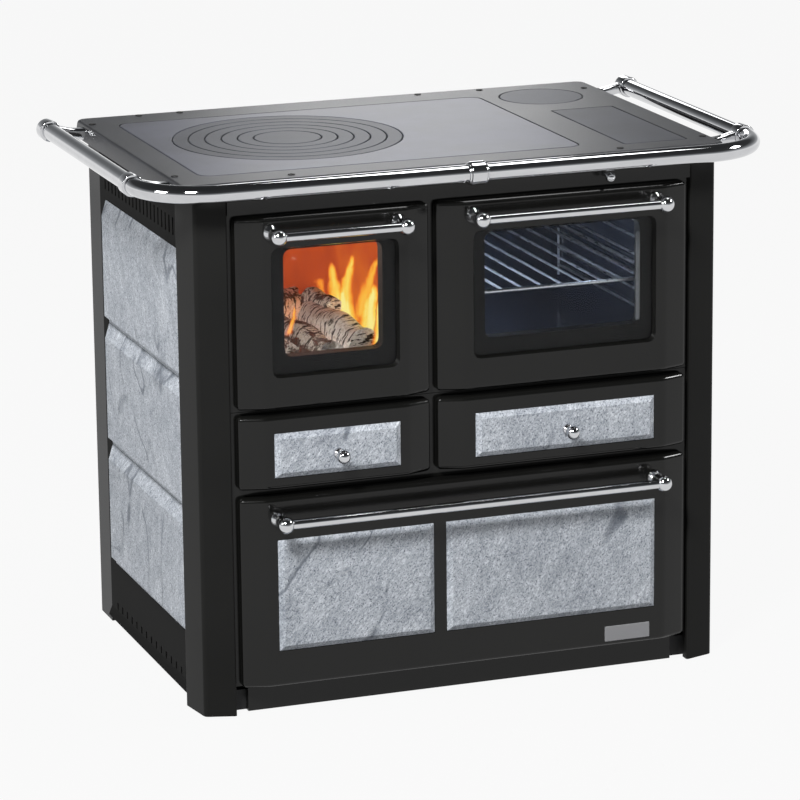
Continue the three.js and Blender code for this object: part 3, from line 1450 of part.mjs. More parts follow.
add('wood_drawer_front', drawerFront(WOOD, WOOD_STONES), ENAMEL);
WOOD_STONES.forEach((slab, i) => {
  add(`wood_drawer_stone_${['left', 'right'][i]}`, stone(slab), SOAPSTONE);
});
const WOOD_HANDLE_Z = WOOD.top - WOOD_HANDLE_DROP;
const WOOD_HANDLE_ENDS = [WOOD.left + WOOD_HANDLE_INSET, WOOD.right - WOOD_HANDLE_INSET];
add('wood_drawer_handle', barHandle(...WOOD_HANDLE_ENDS, WOOD_HANDLE_Z), CHROME);
add('wood_drawer_box', drawerTray(WOOD_BOX, WOOD_BOX_LENGTH), SHEET_STEEL);

export default cookstove;
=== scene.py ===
import json
import math

import bmesh
import bpy
from mathutils import Matrix, Vector, noise
from mathutils.geometry import tessellate_polygon

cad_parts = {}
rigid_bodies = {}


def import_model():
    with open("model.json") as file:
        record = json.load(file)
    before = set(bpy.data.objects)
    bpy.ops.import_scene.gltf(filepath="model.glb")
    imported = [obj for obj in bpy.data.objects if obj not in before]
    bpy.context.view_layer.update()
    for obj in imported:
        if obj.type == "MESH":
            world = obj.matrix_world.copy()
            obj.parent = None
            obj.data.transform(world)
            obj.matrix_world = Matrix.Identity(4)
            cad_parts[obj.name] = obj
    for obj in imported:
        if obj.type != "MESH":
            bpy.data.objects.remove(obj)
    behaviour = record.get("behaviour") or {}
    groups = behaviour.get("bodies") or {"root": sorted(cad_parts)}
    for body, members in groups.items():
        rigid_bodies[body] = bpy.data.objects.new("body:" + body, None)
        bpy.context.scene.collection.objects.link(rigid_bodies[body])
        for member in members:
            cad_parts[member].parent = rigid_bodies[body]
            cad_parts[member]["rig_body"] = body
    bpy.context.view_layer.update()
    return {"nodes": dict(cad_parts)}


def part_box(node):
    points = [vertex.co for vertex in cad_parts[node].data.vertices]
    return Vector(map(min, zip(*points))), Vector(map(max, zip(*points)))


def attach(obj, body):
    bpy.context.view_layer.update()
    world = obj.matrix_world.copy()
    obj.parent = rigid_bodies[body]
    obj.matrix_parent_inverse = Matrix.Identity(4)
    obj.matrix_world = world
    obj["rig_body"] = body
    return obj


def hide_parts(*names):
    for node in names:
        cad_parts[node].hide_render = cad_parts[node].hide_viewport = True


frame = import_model()
nodes = frame["nodes"]
scene = bpy.context.scene
scene.view_settings.view_transform = "Standard"

# ---- camera

SENSOR = 36.0
IMAGE = 800
FOCAL_PIXELS = 4117.6
CAMERA_PLACE = Vector((-2.2127, -6.1446, 2.1076))
CAMERA_YAW = math.radians(19.774)
CAMERA_PITCH = math.radians(14.612)
CAMERA_ROLL = math.radians(-0.613)


def place_camera():
    ahead = Vector((
        math.sin(CAMERA_YAW) * math.cos(CAMERA_PITCH),
        math.cos(CAMERA_YAW) * math.cos(CAMERA_PITCH),
        -math.sin(CAMERA_PITCH),
    ))
    level = Vector((math.cos(CAMERA_YAW), -math.sin(CAMERA_YAW), 0))
    upright = level.cross(ahead)
    right = level * math.cos(CAMERA_ROLL) + upright * math.sin(CAMERA_ROLL)
    up = upright * math.cos(CAMERA_ROLL) - level * math.sin(CAMERA_ROLL)
    data = bpy.data.cameras.new("camera")
    data.sensor_width = SENSOR
    data.lens = FOCAL_PIXELS * SENSOR / IMAGE
    data.clip_end = 60
    camera = bpy.data.objects.new("camera", data)
    scene.collection.objects.link(camera)
    turn = Matrix((right, up, -ahead)).transposed()
    camera.matrix_world = Matrix.Translation(CAMERA_PLACE) @ turn.to_4x4()
    scene.camera = camera


# ---- node trees


class Wire:
    """A socket's value; arithmetic on it adds the Math nodes that work it out."""

    def __init__(self, graph, socket):
        self.graph = graph
        self.socket = socket

    def maths(self, operation, a, b=0.0):
        return self.graph.node("ShaderNodeMath", {"operation": operation}, {0: a, 1: b})

    def __add__(self, other):
        return self.maths("ADD", self, other)

    __radd__ = __add__

    def __sub__(self, other):
        return self.maths("SUBTRACT", self, other)

    def __rsub__(self, other):
        return self.maths("SUBTRACT", other, self)

    def __mul__(self, other):
        return self.maths("MULTIPLY", self, other)

    __rmul__ = __mul__

    def __truediv__(self, other):
        return self.maths("DIVIDE", self, other)

    def __pow__(self, other):
        return self.maths("POWER", self, other)

    def most(self, other):
        return self.maths("MAXIMUM", self, other)

    def size(self):
        return self.maths("ABSOLUTE", self)


class Graph:
    """A node tree; its one method for nodes adds one, fills it in and hands back an output."""

    def __init__(self, tree):
        self.tree = tree
        tree.nodes.clear()

    def feed(self, socket, value):
        if isinstance(value, Wire):
            self.tree.links.new(value.socket, socket)
        elif hasattr(socket.default_value, "__len__"):
            room = len(socket.default_value)
            socket.default_value = tuple(value) + (1.0,) * (room - len(value))
        else:
            socket.default_value = value

    def node(self, kind, settings=None, values=None, out=0):
        """Settings are the node's own, with a ramp's as stops; values go by input number or name."""
        node = self.tree.nodes.new(kind)
        for name, value in (settings or {}).items():
            if name == "stops":
                ramp = node.color_ramp
                while len(ramp.elements) < len(value):
                    ramp.elements.new(0.5)
                for element, (place, colour) in zip(ramp.elements, value):
                    element.position = place
                    element.color = (*colour, 1.0)
            else:
                setattr(node, name, value)
        for key, value in (values or {}).items():
            by_name = (s for s in node.inputs if s.enabled and s.name == key)
            self.feed(node.inputs[key] if isinstance(key, int) else next(by_name), value)
        outlets = [s for s in node.outputs if s.enabled]
        if isinstance(out, str):
            out = [s.name for s in outlets].index(out)
        return Wire(self, outlets[out])


# ---- materials


class Finish(Graph):
    """A material round one Principled shader."""

    def __init__(self, name, slot="", **sockets):
        self.material = bpy.data.materials.new(name)
        self.material["slot"] = slot
        self.material.use_nodes = True
        super().__init__(self.material.node_tree)
        self.output = self.tree.nodes.new("ShaderNodeOutputMaterial")
        self.shader = self.tree.nodes.new("ShaderNodeBsdfPrincipled")
        self.tree.links.new(self.shader.outputs[0], self.output.inputs[0])
        self.set(**sockets)

    def set(self, **sockets):
        for name, value in sockets.items():
            self.feed(self.shader.inputs[name.replace("_", " ").title().replace("Ior", "IOR")], value)

    def mapped(self, at, scale=(1, 1, 1), turn=(0, 0, 0), shift=(0, 0, 0)):
        values = {"Vector": at, "Scale": scale, "Rotation": turn, "Location": shift}
        return self.node("ShaderNodeMapping", {}, values)

    def place(self, **how):
        return self.mapped(self.node("ShaderNodeTexCoord", out="Object"), **how)

    def noise(self, scale, detail=3.0, rough=0.5, at=None, bend=0.0):
        values = {"Scale": scale, "Detail": detail, "Roughness": rough, "Distortion": bend}
        return self.node("ShaderNodeTexNoise", {}, {"Vector": at or self.place(), **values})

    def cracks(self, scale, at):
        """How far it is to the edge of the cell round each point."""
        settings = {"feature": "DISTANCE_TO_EDGE"}
        return self.node("ShaderNodeTexVoronoi", settings, {"Vector": at, "Scale": scale})

    def ramp(self, fac, stops):
        return self.node("ShaderNodeValToRGB", {"stops": stops}, {"Fac": fac})

    def spread(self, value, low, high):
        """A smooth step from 0 at low to 1 at high."""
        values = {"Value": value, "From Min": low, "From Max": high}
        return self.node("ShaderNodeMapRange", {"interpolation_type": "SMOOTHSTEP"}, values)

    def mix(self, a, b, factor):
        settings = {"data_type": "RGBA", "clamp_factor": True}
        return self.node("ShaderNodeMix", settings, {"Factor": factor, "A": a, "B": b})

    def bump(self, height, depth, strength):
        values = {"Strength": strength, "Distance": depth, "Height": height}
        self.set(normal=self.node("ShaderNodeBump", {}, values))


def enamel_finish(name, slot, tone, dull=0.1, gloss=0.25):
    """Fired enamel on steel: near black, glossy, with the faint ripple of the firing."""
    f = Finish(name, slot, coat_weight=gloss * 0.3, coat_roughness=0.04, specular_ior_level=gloss)
    cloud = f.noise(3.5, 4, 0.55)
    speck = f.noise(950, 2, 0.5)
    dark = tuple(v * 0.8 for v in tone)
    f.set(base_color=f.mix(dark, tone, f.spread(cloud, 0.3, 0.7)))
    f.set(roughness=dull + cloud * 0.07 + speck * 0.05)
    ripple = f.noise(55, 2, 0.4) * 0.6 + f.noise(240, 2, 0.5) * 0.4
    f.bump(ripple, 0.00012, 0.55)
    return f.material


def iron_finish(name, slot, low, high, dull):
    """Cast iron ground flat and blackened: mottled, with a fine tooth."""
    f = Finish(name, slot, metallic=0.35, specular_ior_level=0.6)
    cloud = f.noise(7, 5, 0.6)
    fine = f.noise(260, 4, 0.65)
    mottle = f.spread(cloud * 0.65 + fine * 0.35, 0.36, 0.64)
    f.set(base_color=f.mix(low, high, mottle), roughness=dull + fine * 0.12 + cloud * 0.08)
    f.bump(fine * 0.7 + f.noise(780, 2, 0.5) * 0.3, 0.00035, 0.5)
    return f.material


def stone_finish(name, turn, shift, vein):
    """Soapstone: blue grey, finely pitted, brushed aslant, with clouds and a few dark hairlines."""
    f = Finish(name, "soapstone", specular_ior_level=0.3)
    at = f.place(turn=turn, shift=shift)
    slanted = f.mapped(at, (1, 1, 0.3))
    cloud = f.noise(5.5, 4, 0.6, at, 0.6)
    streak = f.noise(46, 6, 0.72, slanted, 0.4)
    grain = f.noise(360, 4, 0.74, slanted)
    pits = f.noise(420, 3, 0.7, at)
    line = (f.noise(5.5, 3, 0.45, slanted, 0.25) - 0.5).size()
    hair = (1 - f.spread(line, 0.0, 0.014)) * f.spread(f.noise(8, 3, 0.6, at), 0.46, 0.58)
    smudge = (1 - f.spread(line, 0.0, 0.05)) * f.spread(cloud, 0.54, 0.64)
    tone = cloud * 0.14 + streak * 0.28 + grain * 0.58
    stops = [
        (0.33, (0.15, 0.17, 0.205)), (0.43, (0.31, 0.335, 0.375)),
        (0.52, (0.46, 0.49, 0.535)), (0.62, (0.72, 0.75, 0.79)),
    ]
    body = f.ramp(tone, stops)
    dark = f.mix(body, (0.06, 0.075, 0.1), f.spread(pits, 0.56, 0.63) * 0.9)
    pale = f.mix(dark, (0.8, 0.83, 0.86), f.spread(1 - pits, 0.58, 0.7) * 0.5)
    veined = f.mix(pale, (0.07, 0.085, 0.11), (hair * 0.7).most(smudge * vein))
    f.set(base_color=veined, roughness=0.5 + grain * 0.2)
    f.bump(grain * 0.3 + pits * 0.7 - hair * 0.6, 0.0009, 0.8)
    return f.material


def chrome_finish():
    """Polished chrome plate with faint wiping marks."""
    f = Finish("bright_chrome", "chrome", metallic=1.0)
    smear = f.noise(60, 4, 0.6, f.place(scale=(0.25, 1, 1)))
    f.set(base_color=f.mix((0.52, 0.525, 0.54), (0.66, 0.665, 0.68), smear), roughness=0.02 + smear * 0.05)
    f.bump(f.noise(150, 2), 0.00003, 0.25)
    return f.material


def wire_finish():
    """Drawn steel wire, bright but not polished."""
    f = Finish("drawn_wire", "chrome", metallic=1.0)
    drawn = f.noise(420, 3, 0.6, f.place(scale=(1, 0.1, 1)))
    f.set(base_color=f.mix((0.45, 0.46, 0.49), (0.8, 0.82, 0.86), drawn), roughness=0.2 + drawn * 0.18)
    return f.material


def sheet_finish(name, tone):
    """Sheet steel with a dull powder coat."""
    f = Finish(name, "sheet_steel", specular_ior_level=0.25)
    cloud = f.noise(9, 4, 0.6)
    fine = f.noise(1400, 2, 0.6)
    f.set(base_color=f.mix(tuple(v * 0.8 for v in tone), tone, cloud), roughness=0.42 + fine * 0.15)
    f.bump(fine, 0.00012, 0.5)
    return f.material


def brick_finish():
    """Firebrick: warm buff, pitted, sooted in patches."""
    f = Finish("sooted_firebrick", "firebrick", specular_ior_level=0.2)
    pit = f.noise(230, 5, 0.7)
    cloud = f.noise(11, 4, 0.6)
    warm = f.mix((0.33, 0.2, 0.11), (0.52, 0.37, 0.24), cloud)
    f.set(base_color=f.mix(warm, (0.035, 0.025, 0.02), f.spread(cloud + pit * 0.3, 0.45, 0.85)))
    f.set(roughness=0.85 + pit * 0.1)
    f.bump(pit, 0.0012, 0.6)
    return f.material


def glass_finish():
    """Glass ceramic under an anti-reflection layer: clear with a faint tint."""
    f = Finish("clear_glass_ceramic", "door_glass", transmission_weight=1.0, ior=1.16)
    haze = f.noise(14, 3, 0.5)
    f.set(base_color=f.mix((0.93, 0.95, 0.96), (1, 1, 1), haze * 0.1), roughness=0.01 + haze * 0.02)
    return f.material


# ---- shapes

ROUND = 128


def rectangle(x0, x1, y0, y1, radius, steps):
    """A rectangle's outline with its corners rounded."""
    left, right, low, high = x0 + radius, x1 - radius, y0 + radius, y1 - radius
    points = []
    for n, (x, y) in enumerate([(left, low), (right, low), (right, high), (left, high)]):
        for step in range(steps + 1):
            angle = math.pi * (1 + n / 2 + step / steps / 2)
            points.append((x + radius * math.cos(angle), y + radius * math.sin(angle)))
    return points


def turns(sides):
    return [2 * math.pi * i / sides for i in range(sides)]


def circle(x, y, radius):
    return [(x + radius * math.cos(t), y + radius * math.sin(t)) for t in turns(ROUND)]


BROAD_FACE = 0.003  # square metres
ONE_PLANE = math.cos(math.radians(3))
SHARP = math.radians(35)
ONE_POINT = 0.00001
# How far neighbouring faces may turn, in degrees, and still be shaded as one.
CAST, TURNED, FLAT, ROUGH, STONE = 40, 50, 30, 60, 26


def shade(mesh, limit):
    """Smooth shading that keeps flat faces flat: a corner takes the mean of the faces round it, by area."""
    mesh.shade_smooth()
    round_it = [[] for _ in mesh.vertices]
    for face in mesh.polygons:
        for vertex in face.vertices:
            round_it[vertex].append((face.normal.copy(), face.area))
    least = math.cos(math.radians(limit))
    normals = []
    for face in mesh.polygons:
        for vertex in face.vertices:
            total = face.normal * 1e-9
            for normal, area in round_it[vertex]:
                both_broad = area > BROAD_FACE and face.area > BROAD_FACE
                if normal.dot(face.normal) > (ONE_PLANE if both_broad else least):
                    total += normal * area
            normals.append(total.normalized())
    mesh.normals_split_custom_set(normals)


def new_piece(name, mesh, material, body, replaced=(), smooth=CAST):
    """A finished piece: shaded, coloured, riding on its body."""
    obj = bpy.data.objects.new(name, mesh)
    scene.collection.objects.link(obj)
    mesh.materials.clear()
    mesh.materials.append(material)
    shade(mesh, smooth)
    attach(obj, body)
    if replaced:
        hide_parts(*replaced)


def finished(bm, name):
    mesh = bpy.data.meshes.new(name)
    bm.to_mesh(mesh)
    bm.free()
    return mesh


def closed_up(bm, name):
    """The bmesh as a mesh, its doubles merged and its faces outward."""
    bmesh.ops.remove_doubles(bm, verts=bm.verts, dist=ONE_POINT)
    bmesh.ops.recalc_face_normals(bm, faces=bm.faces)
    return finished(bm, name)


def mesh_of(build):
    """The closed-up mesh that a function draws in a bmesh."""
    bm = bmesh.new()
    build(bm)
    return closed_up(bm, "piece")


def lattice(bm, rows, round_it=True):
    """The faces between rows of equally many points, each with its row and its place along it."""
    made = []
    for i, (low, high) in enumerate(zip(rows, rows[1:])):
        for k in range(len(low) if round_it else len(low) - 1):
            j = (k + 1) % len(low)
            made.append((i, k, bm.faces.new((low[k], low[j], high[j], high[k]))))
    return made


def skin(bm, rings, first_closed=True, last_closed=True):
    """A skin over rings of equally many points."""
    rows = [[bm.verts.new(p) for p in ring] for ring in rings]
    lattice(bm, rows)
    if first_closed:
        bm.faces.new(rows[0])
    if last_closed:
        bm.faces.new(rows[-1])


def filled(bm, outer, holes):
    """A flat face between an outline and the holes in it, all of them three-dimensional points."""
    loops = [outer, *holes]
    verts = [bm.verts.new(p) for loop in loops for p in loop]
    for triangle in tessellate_polygon([[Vector(p) for p in loop] for loop in loops]):
        bm.faces.new([verts[i] for i in triangle])


def at_height(points, z):
    return [(p[0], p[1], z) for p in points]


def revolve(bm, profile, axis, centre, sides):
    """A profile of (radius, place along the axis) turned about that axis."""
    x, y, z = Vector((1, 0, 0)), Vector((0, 1, 0)), Vector((0, 0, 1))
    u, v, w = {"x": (y, z, x), "y": (x, z, y), "z": (x, y, z)}[axis]
    centre = Vector(centre)
    rows = []
    for radius, along in profile:
        middle = centre + w * along
        if radius <= 1e-7:
            rows.append([bm.verts.new(middle)])
            continue
        ring = [middle + (u * math.cos(t) + v * math.sin(t)) * radius for t in turns(sides)]
        rows.append([bm.verts.new(p) for p in ring])
    for low, high in zip(rows, rows[1:]):
        if len(low) == 1 and len(high) == 1:
            continue
        for i in range(sides):
            j = (i + 1) % sides
            if len(low) == 1:
                bm.faces.new((low[0], high[j], high[i]))
            elif len(high) == 1:
                bm.faces.new((low[i], low[j], high[0]))
            else:
                bm.faces.new((low[i], low[j], high[j], high[i]))


def tube(bm, points, radius, sides):
    """A round bar along a line of points, closed at both ends."""
    points = [Vector(p) for p in points]
    side = None
    rings = []
    for i, point in enumerate(points):
        ahead = (points[min(i + 1, len(points) - 1)] - points[max(i - 1, 0)]).normalized()
        if side is None:
            side = ahead.orthogonal().normalized()
        side = (side - ahead * side.dot(ahead)).normalized()
        other = ahead.cross(side)
        rings.append([point + (side * math.cos(t) + other * math.sin(t)) * radius for t in turns(sides)])
    skin(bm, rings)


def softened(node, material, width, smooth=42):
    """A CAD piece with its sharp edges slightly rounded."""
    mesh = nodes[node].data.copy()
    bm = bmesh.new()
    bm.from_mesh(mesh)
    bmesh.ops.remove_doubles(bm, verts=bm.verts, dist=2 * ONE_POINT)
    bmesh.ops.dissolve_limit(bm, angle_limit=math.radians(0.5), verts=bm.verts, edges=bm.edges)
    bmesh.ops.recalc_face_normals(bm, faces=bm.faces)
    sharp = [e for e in bm.edges if e.is_manifold and e.calc_face_angle(0) > SHARP]
    rounding = {"offset": width, "segments": 3, "profile": 0.5, "clamp_overlap": True}
    bmesh.ops.bevel(bm, geom=sharp, affect="EDGES", **rounding)
    bm.to_mesh(mesh)
    bm.free()
    new_piece(node + "_finished", mesh, material, nodes[node]["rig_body"], (node,), smooth)


# ---- sizes
# In metres: x to the right, y to the back, z up from the floor.

HOB_TOP = 0.850
SKIRT = 0.824
HOB_UNDER = HOB_TOP - 0.02
PLATE_SEAT = HOB_TOP - 0.0085
RING_SEAT = HOB_TOP - 0.006
RING_UNDER = HOB_TOP - 0.0055
LIP = 0.006
EASE = 0.0012
GROOVE = 0.0012
LEAST_RADIUS = 0.0008
RING_X, RING_Y = -0.178, 0.035
RING_RADII = [0.1845, 0.159, 0.1325, 0.106, 0.080, 0.054]
FACE_Y = -0.307
BAR_Y = -0.347
BAR_RADIUS = 0.00725
KNOB_Z = 0.417
RAIL_Z = 0.845
RAIL_FRONT = -0.328
RAIL_SIDE = 0.511
RAIL_RADIUS = 0.014
RAIL_BEND = 0.109
ARM_FOOT = 0.452
SOCKET_LENGTH = 0.025


# ---- hob


def grown(x0, x1, y0, y1, radius, steps):
    """A function that draws this rounded rectangle, larger all round by what it's given."""
    return lambda grow: rectangle(
        x0 - grow, x1 + grow, y0 - grow, y1 + grow, max(radius + grow, LEAST_RADIUS), steps
    )


def stack(outline_of, levels):
    return [at_height(outline_of(grow), z) for grow, z in levels]


def mouth_profile(inner, foot):
    """A round mouth's (radius, height) from the hob's top past the ledge in it to its foot."""
    mouth = inner + GROOVE
    return [
        (mouth + EASE, HOB_TOP), (mouth, HOB_TOP - EASE), (mouth, RING_SEAT), (mouth - LIP, RING_SEAT),
        (mouth - LIP, foot),
    ]


def hob_pieces(frame_iron, plate_iron, ring_iron):
    outline = grown(-0.45, 0.45, -0.277, 0.323, 0.016, 8)
    plate = grown(-0.401, 0.23, -0.215, 0.251, 0.022, 8)
    sweep = grown(0.298, 0.405, -0.227, 0.083, 0.004, 4)
    flue = lambda grow: circle(0.33, 0.211, 0.0695 + grow)

    def draw_frame(bm):
        inner = stack(outline, [(-0.004, HOB_UNDER), (-0.004, SKIRT)])
        eased = [(0.005, SKIRT), (0.0012, HOB_TOP - 0.0035), (-0.0006, HOB_TOP - 0.0009), (-0.003, HOB_TOP)]
        outer = stack(outline, eased)
        skin(bm, inner + outer, last_closed=False)
        holes = []
        for hole in (plate, sweep, flue):
            wall = stack(hole, [
                (GROOVE + EASE, HOB_TOP), (GROOVE, HOB_TOP - EASE), (GROOVE, PLATE_SEAT),
                (-LIP, PLATE_SEAT), (-LIP, HOB_UNDER),
            ])
            skin(bm, wall, False, False)
            holes.append(wall[0])
        filled(bm, outer[-1], holes)

    new_piece("hob_frame_cast", mesh_of(draw_frame), frame_iron, "stove", ("hob_frame",))

    def draw_plate(bm):
        rings = stack(plate, [(-LIP, PLATE_SEAT), (0, PLATE_SEAT), (0, HOB_TOP - EASE), (-EASE, HOB_TOP)])
        skin(bm, rings, False, False)
        profile = mouth_profile(RING_RADII[0], HOB_TOP - 0.012)
        hole = [at_height(circle(RING_X, RING_Y, r), z) for r, z in profile]
        skin(bm, hole, False, False)
        filled(bm, rings[-1], [hole[0]])
        filled(bm, rings[0], [hole[-1]])

    new_piece("cooking_plate_ground", mesh_of(draw_plate), plate_iron, "stove", ("cooking_plate",))

    for number, (outer, inner) in enumerate(zip(RING_RADII, RING_RADII[1:]), 1):
        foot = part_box(f"hob_ring_{number}")[0].z
        within = mouth_profile(inner, foot)
        profile = [
            within[-1], (outer - LIP, foot), (outer - LIP, RING_UNDER), (outer, RING_UNDER),
            (outer, HOB_TOP - EASE), (outer - EASE, HOB_TOP), *within,
        ]
        mesh = mesh_of(lambda bm: revolve(bm, profile, "z", (RING_X, RING_Y, 0), ROUND))
        new_piece(f"ring_{number}_ground", mesh, ring_iron, f"ring_{number}", (f"hob_ring_{number}",))

    cover = lambda grow: circle(RING_X, RING_Y, RING_RADII[-1] + grow)
    lids = [
        ("ring_cover", cover, "hob_ring_cover"), ("flue_lid", flue, "flue_cover"),
        ("sweep_lid", sweep, "sweep_cover"),
    ]
    for body, outline_of, node in lids:
        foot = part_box(node)[0].z
        wall = [(-EASE, foot), (0, foot + EASE), (0, HOB_TOP - EASE), (-EASE, HOB_TOP)]
        mesh = mesh_of(lambda bm: skin(bm, stack(outline_of, wall)))
        new_piece(body + "_ground", mesh, ring_iron, body, (node,))


# ---- rail, handles and knobs


def rail_bend(side):
    """Points along the front rail's bend at one end, from its middle outwards."""
    x, y = side * (RAIL_SIDE - RAIL_BEND), RAIL_FRONT + RAIL_BEND
    angles = [math.pi / 2 * step / 24 for step in range(25)]
    return [(x + side * RAIL_BEND * math.sin(a), y - RAIL_BEND * math.cos(a), RAIL_Z) for a in angles]


def bead(centre, half):
    """A half-round bead's profile about a place along the rail."""
    angles = [math.pi * step / 8 for step in range(9)]
    return [(0.0145 + 0.0025 * math.sin(a), centre - half * math.cos(a)) for a in angles]


def rail_pieces(chrome):
    def draw_front(bm):
        middle = RAIL_SIDE - RAIL_BEND
        straight = [(-middle + 2 * middle * i / 12, RAIL_FRONT, RAIL_Z) for i in range(1, 12)]
        first, last = [(side * RAIL_SIDE, -0.2075, RAIL_Z) for side in (-1, 1)]
        tube(bm, [first, *rail_bend(-1)[::-1], *straight, *rail_bend(1), last], RAIL_RADIUS, 40)

        half, wide = 0.012, 0.004
        collar = [
            (0.0135, -half - wide), *bead(-half - wide / 2, wide / 2),
            (0.0175, -half), (0.0185, -half + 0.0012), (0.0185, half - 0.0012), (0.0175, half),
            *bead(half + wide / 2, wide / 2), (0.0135, half + wide),
        ]
        revolve(bm, collar, "x", (0.008, RAIL_FRONT, RAIL_Z), 48)

    new_piece("front_rail_chromed", mesh_of(draw_front), chrome, "stove", ("rail_front",), TURNED)

    def draw_side(bm, side):
        at = (side * RAIL_SIDE, 0, RAIL_Z)
        tube(bm, [(at[0], -0.2 + 0.474 * i / 12, RAIL_Z) for i in range(13)], RAIL_RADIUS, 40)
        quarter = [math.pi / 2 * k / 10 for k in range(10)]
        dome = [(RAIL_RADIUS * math.cos(a), 0.274 + 0.011 * math.sin(a)) for a in quarter]
        revolve(bm, [(0, 0.27), (RAIL_RADIUS, 0.27), *dome, (0, 0.285)], "y", at, 40)
        for start in (-0.2187, 0.2565):
            end = start + SOCKET_LENGTH
            sleeve = [
                (0, start), (0.0165, start), (0.0175, start + 0.001), (0.0175, end - 0.001), (0.0165, end),
                (0, end),
            ]
            revolve(bm, sleeve, "y", at, 48)
        for y in (-0.2062, 0.269):
            rings = []
            for step in range(13):
                t = step / 12
                x = side * (ARM_FOOT + (RAIL_SIDE - ARM_FOOT) * t)
                waist = math.sin(t * math.pi)
                wide, tall = 0.011 - 0.002 * waist, 0.010 - 0.0015 * waist
                z = 0.835 + 0.010 * (t * t * (3 - 2 * t))
                ring = rectangle(y - wide, y + wide, z - tall, z + tall, 0.0055, 5)
                rings.append([(x, a, b) for a, b in ring])
            skin(bm, rings)

    for word, side in (("left", -1), ("right", 1)):
        mesh = mesh_of(lambda bm: draw_side(bm, side))
        new_piece(f"side_rail_{word}_chromed", mesh, chrome, "stove", (f"rail_side_{word}",), TURNED)


def turned(name, profile, place, sides, material, body, node, smooth=TURNED):
    """A piece turned about a line through this place from the front of the stove to its back."""
    mesh = mesh_of(lambda bm: revolve(bm, profile, "y", place, sides))
    new_piece(name, mesh, material, body, (node,), smooth)


def ball(reach, radius, neck, steps=14):
    """A ball's profile round a place along its axis, open where a neck of this radius enters it."""
    start = math.asin(neck / radius)
    angles = [start + (math.pi - start) * step / steps for step in range(steps)]
    return [*((radius * math.sin(a), reach - radius * math.cos(a)) for a in angles), (0, reach + radius)]


def outward(profile):
    """A profile that goes forward, out of the front, as y does not."""
    return [(r, -d) for r, d in profile]


def bar_handle(body, left, right, z, chrome):
    """A bar between two turned posts, along the top of a door or of the wood drawer."""
    radius = 0.013
    post = [
        (0, 0), (radius * 0.96, 0), (radius, 0.0006), (radius, 0.0034), (radius * 0.95, 0.0045),
        (radius * 0.82, 0.008), (radius * 0.66, 0.0105), (radius * 0.56, 0.0135), (radius * 0.52, 0.018),
        (radius * 0.52, 0.022), (radius * 0.6, 0.0245), (radius * 0.6, 0.0262),
        *ball(0.0397, radius, radius * 0.55),
    ]

    def draw(bm):
        for x in (left, right):
            revolve(bm, outward(post), "y", (x, FACE_Y - 0.0003, z), 48)
        tube(bm, [(left + (right - left) * i / 10, BAR_Y, z) for i in range(11)], BAR_RADIUS, 36)

    name = body.split("_")[0] + "_handle_chromed"
    new_piece(name, mesh_of(draw), chrome, body, (body + "_handle",), TURNED)


def knob(drawer, x, chrome):
    foot = 0.009
    profile = [
        (0, 0), (foot * 0.95, 0), (foot, 0.0006), (foot, 0.0026), (foot * 0.93, 0.0038),
        (foot * 0.8, 0.0056), (foot * 0.6, 0.0073), (foot * 0.5, 0.0095), (foot * 0.5, 0.013),
        *ball(0.025, 0.011, foot * 0.52),
    ]
    place, body = (x, FACE_Y - 0.0053, KNOB_Z), drawer + "_drawer"
    turned(drawer + "_knob_chromed", outward(profile), place, 48, chrome, body, body + "_knob")


def badge(material):
    """The small bare plate at the lower right of the wood drawer."""

    def draw(bm):
        steps = [(0.0, FACE_Y + 0.0002), (0.0, FACE_Y - 0.0010), (-0.0005, FACE_Y - 0.0014)]
        rings = []
        for grow, y in steps:
            outline = rectangle(0.232 - grow, 0.3095 + grow, 0.054 - grow, 0.079 + grow, 0.0015, 4)
            rings.append([(a, y, b) for a, b in outline])
        skin(bm, rings)

    new_piece("bare_plate", mesh_of(draw), material, "wood_drawer", (), FLAT)


def flue_pieces(dark):
    """The flue spigot with its flange on the rear panel, turned smooth."""
    low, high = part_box("flue_spigot")
    x, z = (low.x + high.x) / 2, (low.z + high.z) / 2
    outer, flange, panel = 0.069, (high.x - low.x) / 2, 0.3228
    bore = outer - 0.003
    profile = [
        (bore, low.y), (outer, low.y), (outer, panel), (flange - 0.001, panel), (flange, panel + 0.001),
        (flange, panel + 0.003), (flange - 0.001, panel + 0.004), (outer + 0.002, panel + 0.004),
        (outer, panel + 0.0055), (outer, high.y - LEAST_RADIUS), (outer - LEAST_RADIUS, high.y),
        (bore + LEAST_RADIUS, high.y), (bore, high.y - LEAST_RADIUS), (bore, low.y),
    ]
    turned("flue_spigot_turned", profile, (x, 0, z), 96, dark, "stove", "flue_spigot", CAST)


def damper_piece(chrome):
    low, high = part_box("damper_rod")
    x, z = (low.x + high.x) / 2, (low.z + high.z) / 2
    rod, radius = 0.003, 0.008
    profile = [(0, -high.y), (rod, -high.y), *ball(-low.y - radius, radius, rod)]
    turned("damper_knob_chromed", outward(profile), (x, 0, z), 36, chrome, "damper", "damper_rod")


# ---- repeated parts


